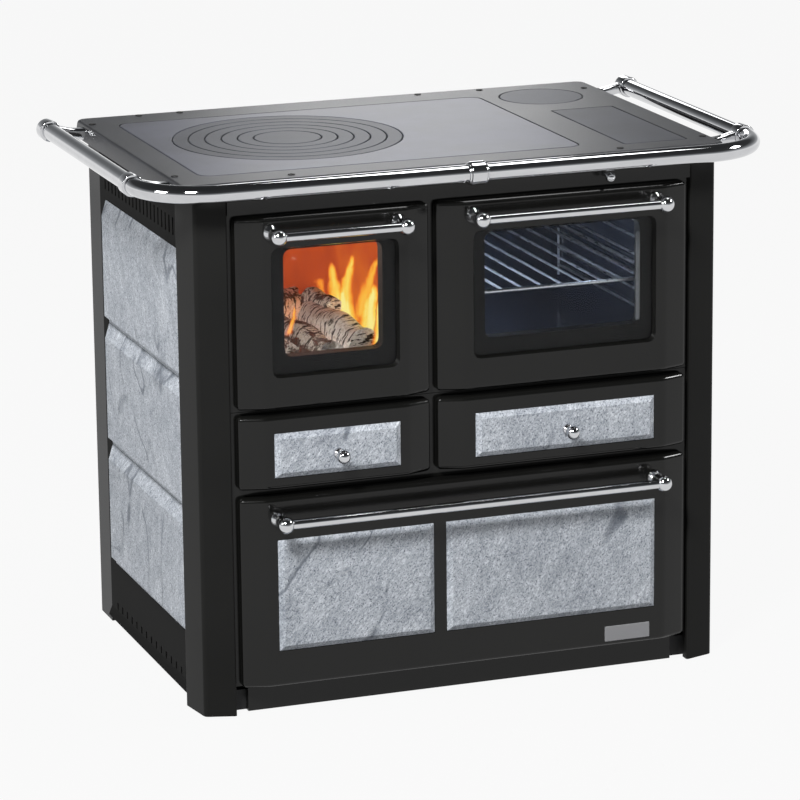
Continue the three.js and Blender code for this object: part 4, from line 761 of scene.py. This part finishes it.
class Tree(Graph):
    """A Geometry Nodes tree with named inputs, run once and turned into a plain mesh."""

    def __init__(self, name, **sizes):
        super().__init__(bpy.data.node_groups.new(name, "GeometryNodeTree"))
        face = self.tree.interface
        face.new_socket("Geometry", in_out="INPUT", socket_type="NodeSocketGeometry")
        face.new_socket("Geometry", in_out="OUTPUT", socket_type="NodeSocketGeometry")
        self.sizes = {}
        for label, value in sizes.items():
            kind = "NodeSocketInt" if isinstance(value, int) else "NodeSocketFloat"
            socket = face.new_socket(label, in_out="INPUT", socket_type=kind)
            self.sizes[label] = (socket.identifier, value)
        self.inlet = self.tree.nodes.new("NodeGroupInput")
        self.outlet = self.tree.nodes.new("NodeGroupOutput")

    def given(self, label):
        return Wire(self, self.inlet.outputs[label])

    def offset(self, x=0.0, y=0.0, z=0.0):
        return self.node("ShaderNodeCombineXYZ", {}, {0: x, 1: y, 2: z})

    def moved(self, geometry, **how):
        values = {key.title(): value for key, value in how.items()}
        return self.node("GeometryNodeTransform", {}, {"Geometry": geometry, **values})

    def joined(self, *parts):
        join = self.tree.nodes.new("GeometryNodeJoinGeometry")
        for part in parts:
            self.feed(join.inputs[0], part)
        return Wire(self, join.outputs[0])

    def ring(self, label, sides):
        values = {"Resolution": sides, "Radius": self.given(label)}
        return self.node("GeometryNodeCurvePrimitiveCircle", {"mode": "RADIUS"}, values)

    def rod(self, start, end, section):
        line = self.node("GeometryNodeCurvePrimitiveLine", {}, {"Start": start, "End": end})
        values = {"Curve": line, "Profile Curve": section, "Fill Caps": True}
        return self.node("GeometryNodeCurveToMesh", {}, values)

    def row(self, count, start, step, mode="OFFSET"):
        values = {"Count": count, "Start Location": start, "Offset": step}
        return self.node("GeometryNodeMeshLine", {"mode": mode}, values)

    def copies(self, points, instance, **more):
        values = {"Points": points, "Instance": instance, **more}
        return self.node("GeometryNodeInstanceOnPoints", {}, values)

    def run(self, geometry, base, material):
        real = self.node("GeometryNodeRealizeInstances", {}, {0: geometry})
        coloured = self.node("GeometryNodeSetMaterial", {}, {"Geometry": real, "Material": material})
        self.feed(self.outlet.inputs[0], coloured)
        carrier = bpy.data.objects.new("carrier", base)
        scene.collection.objects.link(carrier)
        modifier = carrier.modifiers.new("made", "NODES")
        modifier.node_group = self.tree
        for identifier, value in self.sizes.values():
            modifier[identifier] = value
        made = carrier.evaluated_get(bpy.context.evaluated_depsgraph_get())
        mesh = bpy.data.meshes.new_from_object(made)
        carrier.modifiers.remove(modifier)
        bpy.data.objects.remove(carrier)
        return mesh


def points_mesh(places):
    mesh = bpy.data.meshes.new("places")
    mesh.from_pydata([tuple(p) for p in places], [], [])
    return mesh


def welded(mesh):
    bm = bmesh.new()
    bm.from_mesh(mesh)
    return closed_up(bm, "welded")


def screws(name, places, way, material):
    """Slotted screws sunk almost level with a face that looks up, or where this turn makes it look."""
    t = Tree(name, Head=0.0056, Slot=0.0016)
    values = {"Vertices": 24, "Radius": t.given("Head"), "Depth": 0.0024}
    head = t.moved(t.node("GeometryNodeMeshCylinder", {}, values), translation=t.offset(z=-0.0002))
    slot = t.node("GeometryNodeMeshCube", {}, {"Size": t.offset(0.02, t.given("Slot"), 0.0018)})
    slot = t.moved(slot, translation=t.offset(z=0.0010))
    screw = t.node("GeometryNodeMeshBoolean", {"operation": "DIFFERENCE"}, {0: head, 1: slot})
    spin = t.node("FunctionNodeRandomValue", {"data_type": "FLOAT"}, {"Min": 0.0, "Max": 3.1, "Seed": 4})
    all_of_them = t.copies(t.given("Geometry"), screw, Rotation=t.offset(z=spin))
    mesh = t.run(all_of_them, points_mesh(places), material)
    mesh.transform(way)
    new_piece(name, mesh, material, "stove", (), FLAT)


def all_screws(dark):
    spots = [
        (-0.438, 0.265), (-0.346, 0.310), (-0.275, 0.311), (0.145, 0.309), (0.256, 0.307), (0.427, 0.256),
        (-0.438, -0.197), (-0.268, -0.253), (0.278, -0.256), (0.438, -0.215),
    ]
    screws("hob_screws", [(x, y, HOB_TOP) for x, y in spots], Matrix(), dark)
    low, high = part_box("rear_panel")
    across = [low.x + 0.02 + (high.x - low.x - 0.04) * i / 4 for i in range(5)]
    upward = [0.085 + (high.z - 0.03 - 0.085) * i / 5 for i in range(6)]
    rim = [(x, z) for x in across for z in (upward[0], upward[-1])]
    rim += [(x, z) for x in (across[0], across[-1]) for z in upward[1:-1]]
    backwards = Matrix.Rotation(-math.pi / 2, 4, "X")
    screws("rear_screws", [(x, -z, high.y) for x, z in rim], backwards, dark)


def oven_wires(wire_steel):
    """The oven's wire rack and, on each side wall, the ladder of wires that carries it."""
    t = Tree("wire_rack", Count=10, Pitch=0.034, Wire=0.0021, Frame=0.0031, Width=0.366, Depth=0.442)
    depth = t.given("Depth")
    settings = {"mode": "RECTANGLE"}
    values = {"Width": t.given("Width"), "Height": depth}
    edge = t.node("GeometryNodeCurvePrimitiveQuadrilateral", settings, values)
    values = {"Curve": edge, "Count": 6, "Radius": 0.012, "Limit Radius": True}
    edge = t.node("GeometryNodeFilletCurve", {"mode": "POLY"}, values)
    values = {"Curve": edge, "Profile Curve": t.ring("Frame", 12)}
    edge = t.node("GeometryNodeCurveToMesh", {}, values)
    wire = t.rod(t.offset(y=depth * -0.5), t.offset(y=depth * 0.5), t.ring("Wire", 10))
    first = (t.given("Count") - 1.0) * t.given("Pitch") * -0.5
    row = t.row(t.given("Count"), t.offset(x=first), t.offset(x=t.given("Pitch")))
    mesh = welded(t.run(t.joined(edge, t.copies(row, wire)), points_mesh([]), wire_steel))
    low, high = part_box("oven_rack")
    mesh.transform(Matrix.Translation((low + high) / 2))
    new_piece("oven_rack_wires", mesh, wire_steel, "stove", ("oven_rack",), TURNED)

    t = Tree("side_ladders", Count=7, Pitch=0.0285, Wire=0.0021, Depth=0.42, Rise=0.195)
    ring = t.ring("Wire", 10)
    back, front = t.offset(y=t.given("Depth") * -0.5), t.offset(y=t.given("Depth") * 0.5)
    row = t.row(t.given("Count"), (0, 0, 0), t.offset(z=t.given("Pitch")))
    rungs = t.copies(row, t.rod(back, front, ring))
    post = t.rod(t.offset(z=t.given("Rise") * -0.09), t.offset(z=t.given("Rise")), ring)
    posts = t.copies(t.row(2, back, front, "END_POINTS"), post)
    both_sides = t.copies(t.given("Geometry"), t.joined(rungs, posts))
    places = [(-0.0205, -0.032, 0.566), (0.3485, -0.032, 0.566)]
    mesh = welded(t.run(both_sides, points_mesh(places), wire_steel))
    new_piece("oven_side_ladders", mesh, wire_steel, "stove", (), TURNED)


def glass_dots(material):
    """The printed band of staggered dots on the oven's glass."""
    t = Tree("dot_band", Rows=46, Pitch=0.0031, Dot=0.00088)
    values = {"Vertices": 12, "Radius": t.given("Dot")}
    dot = t.node("GeometryNodeMeshCircle", {"fill_type": "NGON"}, values)
    dot = t.moved(dot, rotation=(math.pi / 2, 0.0, 0.0))
    column = t.row(t.given("Rows"), (0, 0, 0), t.offset(z=t.given("Pitch")))
    band = t.copies(t.given("Geometry"), t.copies(column, dot))
    places = [(0.2882 + 0.0024 * i, -0.29885, 0.5815 + 0.00155 * (i % 2)) for i in range(3)]
    mesh = t.run(band, points_mesh(places), material)
    new_piece("oven_glass_dots", mesh, material, "oven_door", (), FLAT)


# ---- fire

# The fire door's window, and how far the line of sight through it drifts per metre of depth.
WINDOW_LEFT, WINDOW_RIGHT = -0.2975, -0.1365
WINDOW_FOOT, WINDOW_TOP = 0.5735, 0.743
WINDOW_Y = -0.2944
SIGHT_ASIDE = 0.36
SIGHT_DOWN = 0.277
LOG_ROWS, LOG_SIDES = 40, 36
EMBER_LEFT, EMBER_WIDTH, EMBER_COLUMNS = -0.322, 0.21, 44
EMBER_FRONT, EMBER_DEPTH, EMBER_ROWS = -0.19, 0.35, 76
EMBER_FOOT = 0.5216


def bark_finish(name, char, warm):
    """Birch bark over charred wood: chalky, with short dark dashes round the log and burnt patches."""
    f = Finish(name, specular_ior_level=0.1)
    wrap = f.node("ShaderNodeUVMap")
    dash = f.noise(1.0, 3, 0.65, f.mapped(wrap, (34, 150, 1)))
    patch = f.noise(1.0, 5, 0.7, f.mapped(wrap, (34, 24, 1)), 0.6)
    fleck = f.noise(1.0, 3, 0.6, f.mapped(wrap, (260, 200, 1)))
    crack = f.cracks(1.0, f.mapped(wrap, (120, 190, 1)))
    mottle = f.spread(fleck * 0.5 + patch * 0.5, 0.36, 0.52)
    chalk = f.mix((0.62, 0.55, 0.48), (0.97, 0.95, 0.91), mottle)
    marked = f.mix(chalk, (0.02, 0.015, 0.012), f.spread(dash, 0.53, 0.57))
    burnt = f.mix((0.006, 0.005, 0.005), (0.05, 0.035, 0.028), f.spread(crack, 0.0, 0.25))
    charred = f.spread(patch * 0.8 + fleck * 0.2, char, char + 0.06)
    f.set(base_color=f.mix(marked, burnt, charred))
    heat = (1 - f.spread(crack, 0.0, 0.06)) * charred * warm
    f.set(emission_color=f.mix((0, 0, 0), (1.0, 0.15, 0.02), heat), emission_strength=1.0)
    f.set(roughness=0.85)
    f.bump(crack * 0.5 - charred * 0.5 + dash * 0.3, 0.004, 0.9)
    return f.material


def ember_finish():
    """Ash grey lumps with orange heat between them."""
    f = Finish("ember_bed", roughness=0.95)
    lump = f.cracks(90.0, f.place())
    soft = f.noise(40, 3, 0.6)
    f.set(base_color=f.mix((0.02, 0.016, 0.014), (0.2, 0.18, 0.16), f.spread(soft, 0.4, 0.7)))
    heat = (1 - f.spread(lump, 0.0, 0.25)) * f.spread(soft, 0.3, 0.6)
    f.set(emission_color=f.mix((0.03, 0.004, 0.0), (1.0, 0.2, 0.02), heat), emission_strength=1.6)
    f.bump(lump, 0.004, 0.8)
    return f.material


def flame_finish(name, tongues, glow, seed):
    """Flame on a sheet whose UV runs 0 to 1 over the window: tongues over a deep red glow.

    Each tongue is (foot x, foot y, lean, height, width, heat)."""
    f = Finish(name, roughness=1.0, specular_ior_level=0.0, base_color=(0, 0, 0))
    wrap = f.node("ShaderNodeUVMap")
    moved = f.mapped(wrap, (1, 0.55, 1), shift=(seed, seed * 0.37, 0))
    across, up = [f.node("ShaderNodeSeparateXYZ", {}, {0: wrap}, axis) for axis in (0, 1)]
    sway, flicker = f.noise(2.6, 3, 0.5, moved, 0.4), f.noise(9, 3, 0.6, moved, 0.8)
    curl = (sway - 0.5) * 0.26 + (flicker - 0.5) * 0.11
    lick = f.noise(6.5, 4, 0.62, f.mapped(moved, (1.6, 0.45, 1)), 0.7)
    total = None
    for foot_x, foot_y, lean, height, width, heat in tongues:
        t = (up - foot_y) / height
        aside = (across - foot_x + curl * (0.25 + t * 0.9) - t * lean).size()
        reach = (1 - t) ** 0.8 * width + 0.004
        foot, tip = f.spread(t, -0.18, 0.06), f.spread(1 - t, 0.0, 0.25)
        inside = f.spread(1 - aside / reach, 0.0, 1.0) * foot * tip
        tongue = inside * (heat * 0.72 + lick * heat * 0.62)
        total = tongue if total is None else total.most(tongue)
    haze = f.noise(2.2, 4, 0.6, moved, 0.5)
    strength = total.most((haze * 0.6 + lick * 0.14) * glow)
    colour = f.ramp(strength, [
        (0.0, (0.05, 0.006, 0.002)), (0.2, (0.2, 0.02, 0.005)), (0.38, (0.5, 0.065, 0.012)),
        (0.56, (0.86, 0.2, 0.02)), (0.72, (1.0, 0.44, 0.04)), (0.9, (1.0, 0.68, 0.11)),
        (1.0, (1.0, 0.84, 0.27)),
    ])
    f.set(emission_color=colour, emission_strength=1.0)
    if glow == 0:
        f.set(alpha=f.spread(total, 0.1, 0.7) * 0.9)
    return f.material


def log_mesh(start, end, radius, seed, flat):
    """A split log: a wandering round stick, a little flattened, with uneven ends."""
    start, end = Vector(start), Vector(end)
    axis = (end - start).normalized()
    side = axis.orthogonal().normalized()
    other = axis.cross(side)
    length = (end - start).length
    bm = bmesh.new()
    loops = []
    for i in range(LOG_ROWS + 1):
        t = i / LOG_ROWS
        drift = side * noise.noise(Vector((seed, t * 3, 0)))
        drift += other * noise.noise(Vector((t * 3, seed, 5)))
        middle = start + axis * length * t + drift * radius * 0.35
        ragged = 0.004 if 0 < i < LOG_ROWS else 0.008
        ring = []
        for a in turns(LOG_SIDES):
            x, y = math.cos(a), math.sin(a)
            spot = Vector((x * 1.3, y * 1.3, t * length * 16 + seed))
            r = radius * (1 + 0.13 * noise.noise(spot) + 0.05 * noise.noise(spot * 4))
            jut = ragged * noise.noise(Vector((x * 2, y * 2, seed + i // LOG_ROWS)))
            ring.append(bm.verts.new(middle + axis * jut + side * x * r + other * y * r * flat))
        loops.append(ring)
    layer = bm.loops.layers.uv.new("UVMap")
    for i, k, face in lattice(bm, loops):
        corners = ((k, i), (k + 1, i), (k + 1, i + 1), (k, i + 1))
        for loop, (u, v) in zip(face.loops, corners):
            loop[layer].uv = (u / LOG_SIDES * 2 * math.pi * radius, v / LOG_ROWS * length)
    for ring in (loops[0][::-1], loops[-1]):
        middle = bm.verts.new(sum((v.co for v in ring), Vector()) / LOG_SIDES)
        for k in range(LOG_SIDES):
            face = bm.faces.new((ring[k], ring[(k + 1) % LOG_SIDES], middle))
            for loop in face.loops:
                loop[layer].uv = (loop.vert.co.x, loop.vert.co.z)
    bmesh.ops.recalc_face_normals(bm, faces=bm.faces)
    return finished(bm, "log")


def flame_sheet(name, path, foot, top, material):
    """An upright sheet along a path on the floor plan; its UV follows what the fire door's window shows."""
    bm = bmesh.new()
    layer = bm.loops.layers.uv.new("UVMap")
    heights = [foot + (top - foot) * i / 24 for i in range(25)]
    grid = [[bm.verts.new((x, y, z)) for x, y in path] for z in heights]
    for _, _, face in lattice(bm, grid, False):
        for loop in face.loops:
            x, y, z = loop.vert.co
            deep = y - WINDOW_Y
            u = (x - SIGHT_ASIDE * deep - WINDOW_LEFT) / (WINDOW_RIGHT - WINDOW_LEFT)
            v = (z + SIGHT_DOWN * deep - WINDOW_FOOT) / (WINDOW_TOP - WINDOW_FOOT)
            loop[layer].uv = (u, v)
    new_piece(name, finished(bm, name), material, "stove", (), 180)


def ember_mesh():
    """A lumpy bed on the grate, thinning out to its rim."""
    bm = bmesh.new()
    grid = []
    for i in range(EMBER_ROWS + 1):
        row = []
        for k in range(EMBER_COLUMNS + 1):
            u, v = k / EMBER_COLUMNS, i / EMBER_ROWS
            x, y = EMBER_LEFT + EMBER_WIDTH * u, EMBER_FRONT + EMBER_DEPTH * v
            rise = 0.012 + 0.011 * noise.noise(Vector((x * 70, y * 70, 1)))
            rise += 0.006 * noise.noise(Vector((x * 190, y * 190, 4)))
            rim = min(u, 1 - u, v, 1 - v)
            row.append(bm.verts.new((x, y, EMBER_FOOT + max(0.0, rise) * min(1, rim * 14))))
        grid.append(row)
    lattice(bm, grid, False)
    return finished(bm, "embers")


def fire():
    birch = bark_finish("birch_bark", 0.62, 0.05)
    charred = bark_finish("charred_bark", 0.47, 0.16)
    logs = [
        ("log_birch", (-0.166, -0.035, 0.570), (-0.1395, -0.215, 0.5625), 0.0265, 2.0, 1.0, birch),
        ("log_charred", (-0.232, -0.03, 0.561), (-0.197, -0.222, 0.5485), 0.0255, 5.0, 0.95, charred),
        ("log_stub", (-0.158, 0.0, 0.594), (-0.146, -0.085, 0.592), 0.0165, 9.0, 0.85, charred),
        ("log_rear", (-0.310, 0.07, 0.553), (-0.14, 0.12, 0.552), 0.030, 13.0, 0.95, charred),
        ("log_left", (-0.290, 0.03, 0.550), (-0.266, -0.20, 0.5475), 0.0255, 17.0, 0.95, charred),
    ]
    for name, start, end, radius, seed, flat, bark in logs:
        new_piece(name, log_mesh(start, end, radius, seed, flat), bark, "stove", (), ROUGH)
    new_piece("ember_bed", ember_mesh(), ember_finish(), "stove", (), ROUGH)

    right, back, corner = -0.110, 0.166, 0.042
    bend = [math.pi / 2 * k / 12 for k in range(13)]
    wall = [(-0.322 + 0.17 * k / 16, back) for k in range(16)]
    wall += [(right - corner + corner * math.sin(a), back - corner + corner * math.cos(a)) for a in bend]
    wall += [(right, back - corner - 0.345 * k / 32) for k in range(1, 33)]
    behind = [
        (0.58, 0.34, -0.18, 0.66, 0.28, 0.88), (0.58, 0.34, 0.10, 0.70, 0.26, 0.88),
        (0.60, 0.30, 0.0, 0.38, 0.34, 1.0), (0.86, 0.04, 0.02, 0.68, 0.32, 0.98),
        (1.0, 0.05, 0.0, 0.60, 0.26, 0.92), (0.06, 0.26, -0.02, 0.42, 0.20, 0.95),
        (0.16, 0.36, -0.1, 0.28, 0.14, 0.7), (0.76, 0.34, 0.16, 0.62, 0.20, 0.75),
        (0.34, 0.40, -0.04, 0.46, 0.22, 0.6),
    ]
    flame_sheet("flame_behind", wall, 0.524, 0.83, flame_finish("fire_behind", behind, 1.0, 3.1))
    front = [(-0.31 + 0.196 * k / 16, -0.236 - 0.012 * math.sin(k * 0.8)) for k in range(17)]
    before = [(0.93, 0.02, 0.05, 0.5, 0.10, 0.95), (0.02, 0.22, 0.10, 0.3, 0.07, 0.75)]
    flame_sheet("flame_before", front, 0.56, 0.76, flame_finish("fire_before", before, 0.0, 7.7))


# ---- studio

FLOOR_REACH = 9.0
FLOOR_WHITE = 0.93


def light_world():
    """White at and below the horizon, darker towards the zenith, as in a room lit by softboxes."""
    world = bpy.data.worlds.new("studio")
    scene.world = world
    world.use_nodes = True
    sky = Graph(world.node_tree)
    stops = []
    for height, level in [(0.0, 1.0), (0.05, 1.0), (0.13, 0.5), (0.3, 0.2), (0.45, 0.05), (1.0, 0.03)]:
        tint = 1 - level
        stops.append((height, (level * (1 - 0.08 * tint), level * (1 - 0.04 * tint), level)))
    way = sky.node("ShaderNodeTexCoord", out="Generated")
    up = sky.node("ShaderNodeSeparateXYZ", {}, {0: way}, 2)
    colour = sky.node("ShaderNodeValToRGB", {"stops": stops}, {"Fac": up})
    output = sky.tree.nodes.new("ShaderNodeOutputWorld")
    sky.feed(output.inputs[0], sky.node("ShaderNodeBackground", {}, {"Color": colour}))


def lamp(name, kind, place, power, colour, **shape):
    data = bpy.data.lights.new(name, kind)
    data.energy = power
    data.color = colour
    for key, value in shape.items():
        setattr(data, key, value)
    made = bpy.data.objects.new(name, data)
    scene.collection.objects.link(made)
    made.location = place
    return made


def light_lamps():
    white, cool = (1, 1, 1), (0.72, 0.83, 1.0)
    softboxes = [
        ("key", (-2.2, -2.8, 3.75), (0, 0, 0.45), 0.9, 0.9, 250),
        ("left_fill", (-4.0, -0.9, 2.4), (0, 0, 0.45), 1.2, 1.2, 45),
        ("top", (1.0, 0.25, 3.4), (0, 0, 0.8), 1.2, 0.7, 16),
        ("edge", (2.45, -0.75, 2.4), (0.2, -0.3, 0.5), 0.6, 0.5, 34),
        ("behind", (1.12, 3.1, 1.72), (0.3, 0, 0.85), 0.85, 1.1, 8),
    ]
    for name, place, aim, width, height, power in softboxes:
        made = lamp(name, "AREA", place, power, white, shape="RECTANGLE", size=width, size_y=height)
        made.rotation_euler = (Vector(aim) - Vector(place)).to_track_quat("-Z", "Y").to_euler()
    inside = [
        ("firelight", (-0.262, -0.24, 0.715), 3.2, 0.0, (1.0, 0.9, 0.8)),
        ("oven_lamp_low", (0.055, 0.10, 0.548), 0.7, 0.012, cool),
        ("oven_lamp_high", (0.075, 0.02, 0.752), 1.1, 0.016, cool),
        ("oven_lamp_front", (0.27, -0.235, 0.755), 0.35, 0.012, cool),
    ]
    for name, place, power, size, colour in inside:
        made = lamp(name, "POINT", place, power, colour, shadow_soft_size=size)
        made.visible_camera = False
        made.visible_transmission = False


def lay_floor():
    """A pale floor that the camera, metal and glass see as near white, and that still takes the shadow."""
    bm = bmesh.new()
    bmesh.ops.create_grid(bm, x_segments=8, y_segments=8, size=FLOOR_REACH)
    mesh = finished(bm, "floor")
    floor = bpy.data.objects.new("floor", mesh)
    scene.collection.objects.link(floor)
    f = Finish("pale_floor", roughness=0.9, specular_ior_level=0.0, base_color=(0.22, 0.22, 0.22))
    kinds = ("Camera", "Glossy", "Transmission")
    camera, glossy, through = [f.node("ShaderNodeLightPath", out=f"Is {kind} Ray") for kind in kinds]
    plain = camera.most(glossy).most(through)
    glow = f.node("ShaderNodeEmission", {}, {"Color": (1, 1, 1)})
    values = {0: plain * FLOOR_WHITE, 1: Wire(f, f.shader.outputs[0]), 2: glow}
    f.feed(f.output.inputs[0], f.node("ShaderNodeMixShader", {}, values))
    mesh.materials.append(f.material)


# ---- assembly

place_camera()
light_world()
light_lamps()
lay_floor()

graphite = enamel_finish("graphite_enamel", "enamel", (0.0066, 0.0066, 0.0061))
satin = enamel_finish("satin_graphite", "enamel", (0.006, 0.006, 0.0058), 0.55, 0.03)
post_enamel = enamel_finish("post_graphite", "enamel", (0.013, 0.013, 0.0125), 0.4, 0.07)
lining = enamel_finish("dull_black", "dark_iron", (0.004, 0.004, 0.004), 0.4, 0.1)
irons = [
    ("blacked_iron", "hob_iron", (0.022, 0.023, 0.026), (0.04, 0.042, 0.048), 0.3),
    ("ground_iron", "cooking_iron", (0.048, 0.05, 0.066), (0.088, 0.092, 0.122), 0.3),
    ("ring_iron", "cooking_iron", (0.03, 0.032, 0.04), (0.06, 0.064, 0.078), 0.36),
    ("burnt_iron", "dark_iron", (0.012, 0.012, 0.012), (0.03, 0.028, 0.026), 0.5),
]
frame_iron, plate_iron, ring_iron, fire_iron = [iron_finish(*looks) for looks in irons]
chrome = chrome_finish()
black_sheet = sheet_finish("black_sheet", (0.03, 0.03, 0.031))
oven_enamel = enamel_finish("blue_black_enamel", "oven_enamel", (0.022, 0.027, 0.044), 0.16, 0.9)
brick = brick_finish()
pane = glass_finish()
plate_metal = sheet_finish("bare_badge", (0.3, 0.3, 0.31))
brushed = [(0.62, 0.2, 0.75), (0.5, -0.3, 0.8), (0.66, 0.25, 0.6), (0.45, 0.35, 0.85)]
stones = []
for n, way in enumerate(brushed):
    turn = Vector(way).rotation_difference(Vector((0, 0, 1))).to_euler()
    shift = (n * 0.7, n * 1.3, n * 0.4)
    stones.append(stone_finish(f"soapstone_{n}", turn, shift, 0.3 if n % 2 else 0.75))

hob_pieces(frame_iron, plate_iron, ring_iron)
all_screws(fire_iron)
oven_wires(wire_finish())
glass_dots(enamel_finish("dot_print", "", (0.3, 0.31, 0.32), 0.3))
badge(plate_metal)
fire()
rail_pieces(chrome)
bar_handle("fire_door", -0.3205, -0.1135, 0.774, chrome)
bar_handle("oven_door", 0.010, 0.318, 0.774, chrome)
bar_handle("wood_drawer", -0.317, 0.317, 0.320, chrome)
knob("ash", -0.218, chrome)
knob("warming", 0.165, chrome)

fronts = ("fire_door_frame", "oven_door_frame", "ash_drawer_front", "warming_drawer_front")
for node in (*fronts, "wood_drawer_front"):
    softened(node, graphite, 0.0008)
for node in ("front_frame", "drawer_frame", "plinth_front"):
    softened(node, graphite, 0.0006)
for finish, group in ((post_enamel, "post_front"), (satin, "side_panel")):
    for side in ("left", "right"):
        softened(f"{group}_{side}", finish, 0.0006)
softened("rear_panel", black_sheet, 0.0006)
flue_pieces(black_sheet)
damper_piece(chrome)
stone_nodes = [n for n in sorted(nodes) if "stone" in n]
for i, node in enumerate(stone_nodes):
    softened(node, stones[i % 4], 0.0007, STONE)

plain_looks = {"grate": fire_iron, "firebox_shell": fire_iron, "firebrick_lining": brick}
plain_looks["oven_liner"] = oven_enamel
for door in ("fire_door", "oven_door"):
    plain_looks |= {door + "_glass": pane, door + "_liner": lining, door + "_hinge_rod": chrome}
for node in sorted(nodes):
    if nodes[node].hide_render:
        continue
    finish = plain_looks.get(node, black_sheet)
    materials = nodes[node].data.materials
    if not materials:
        materials.append(finish)
    for i in range(len(materials)):
        materials[i] = finish
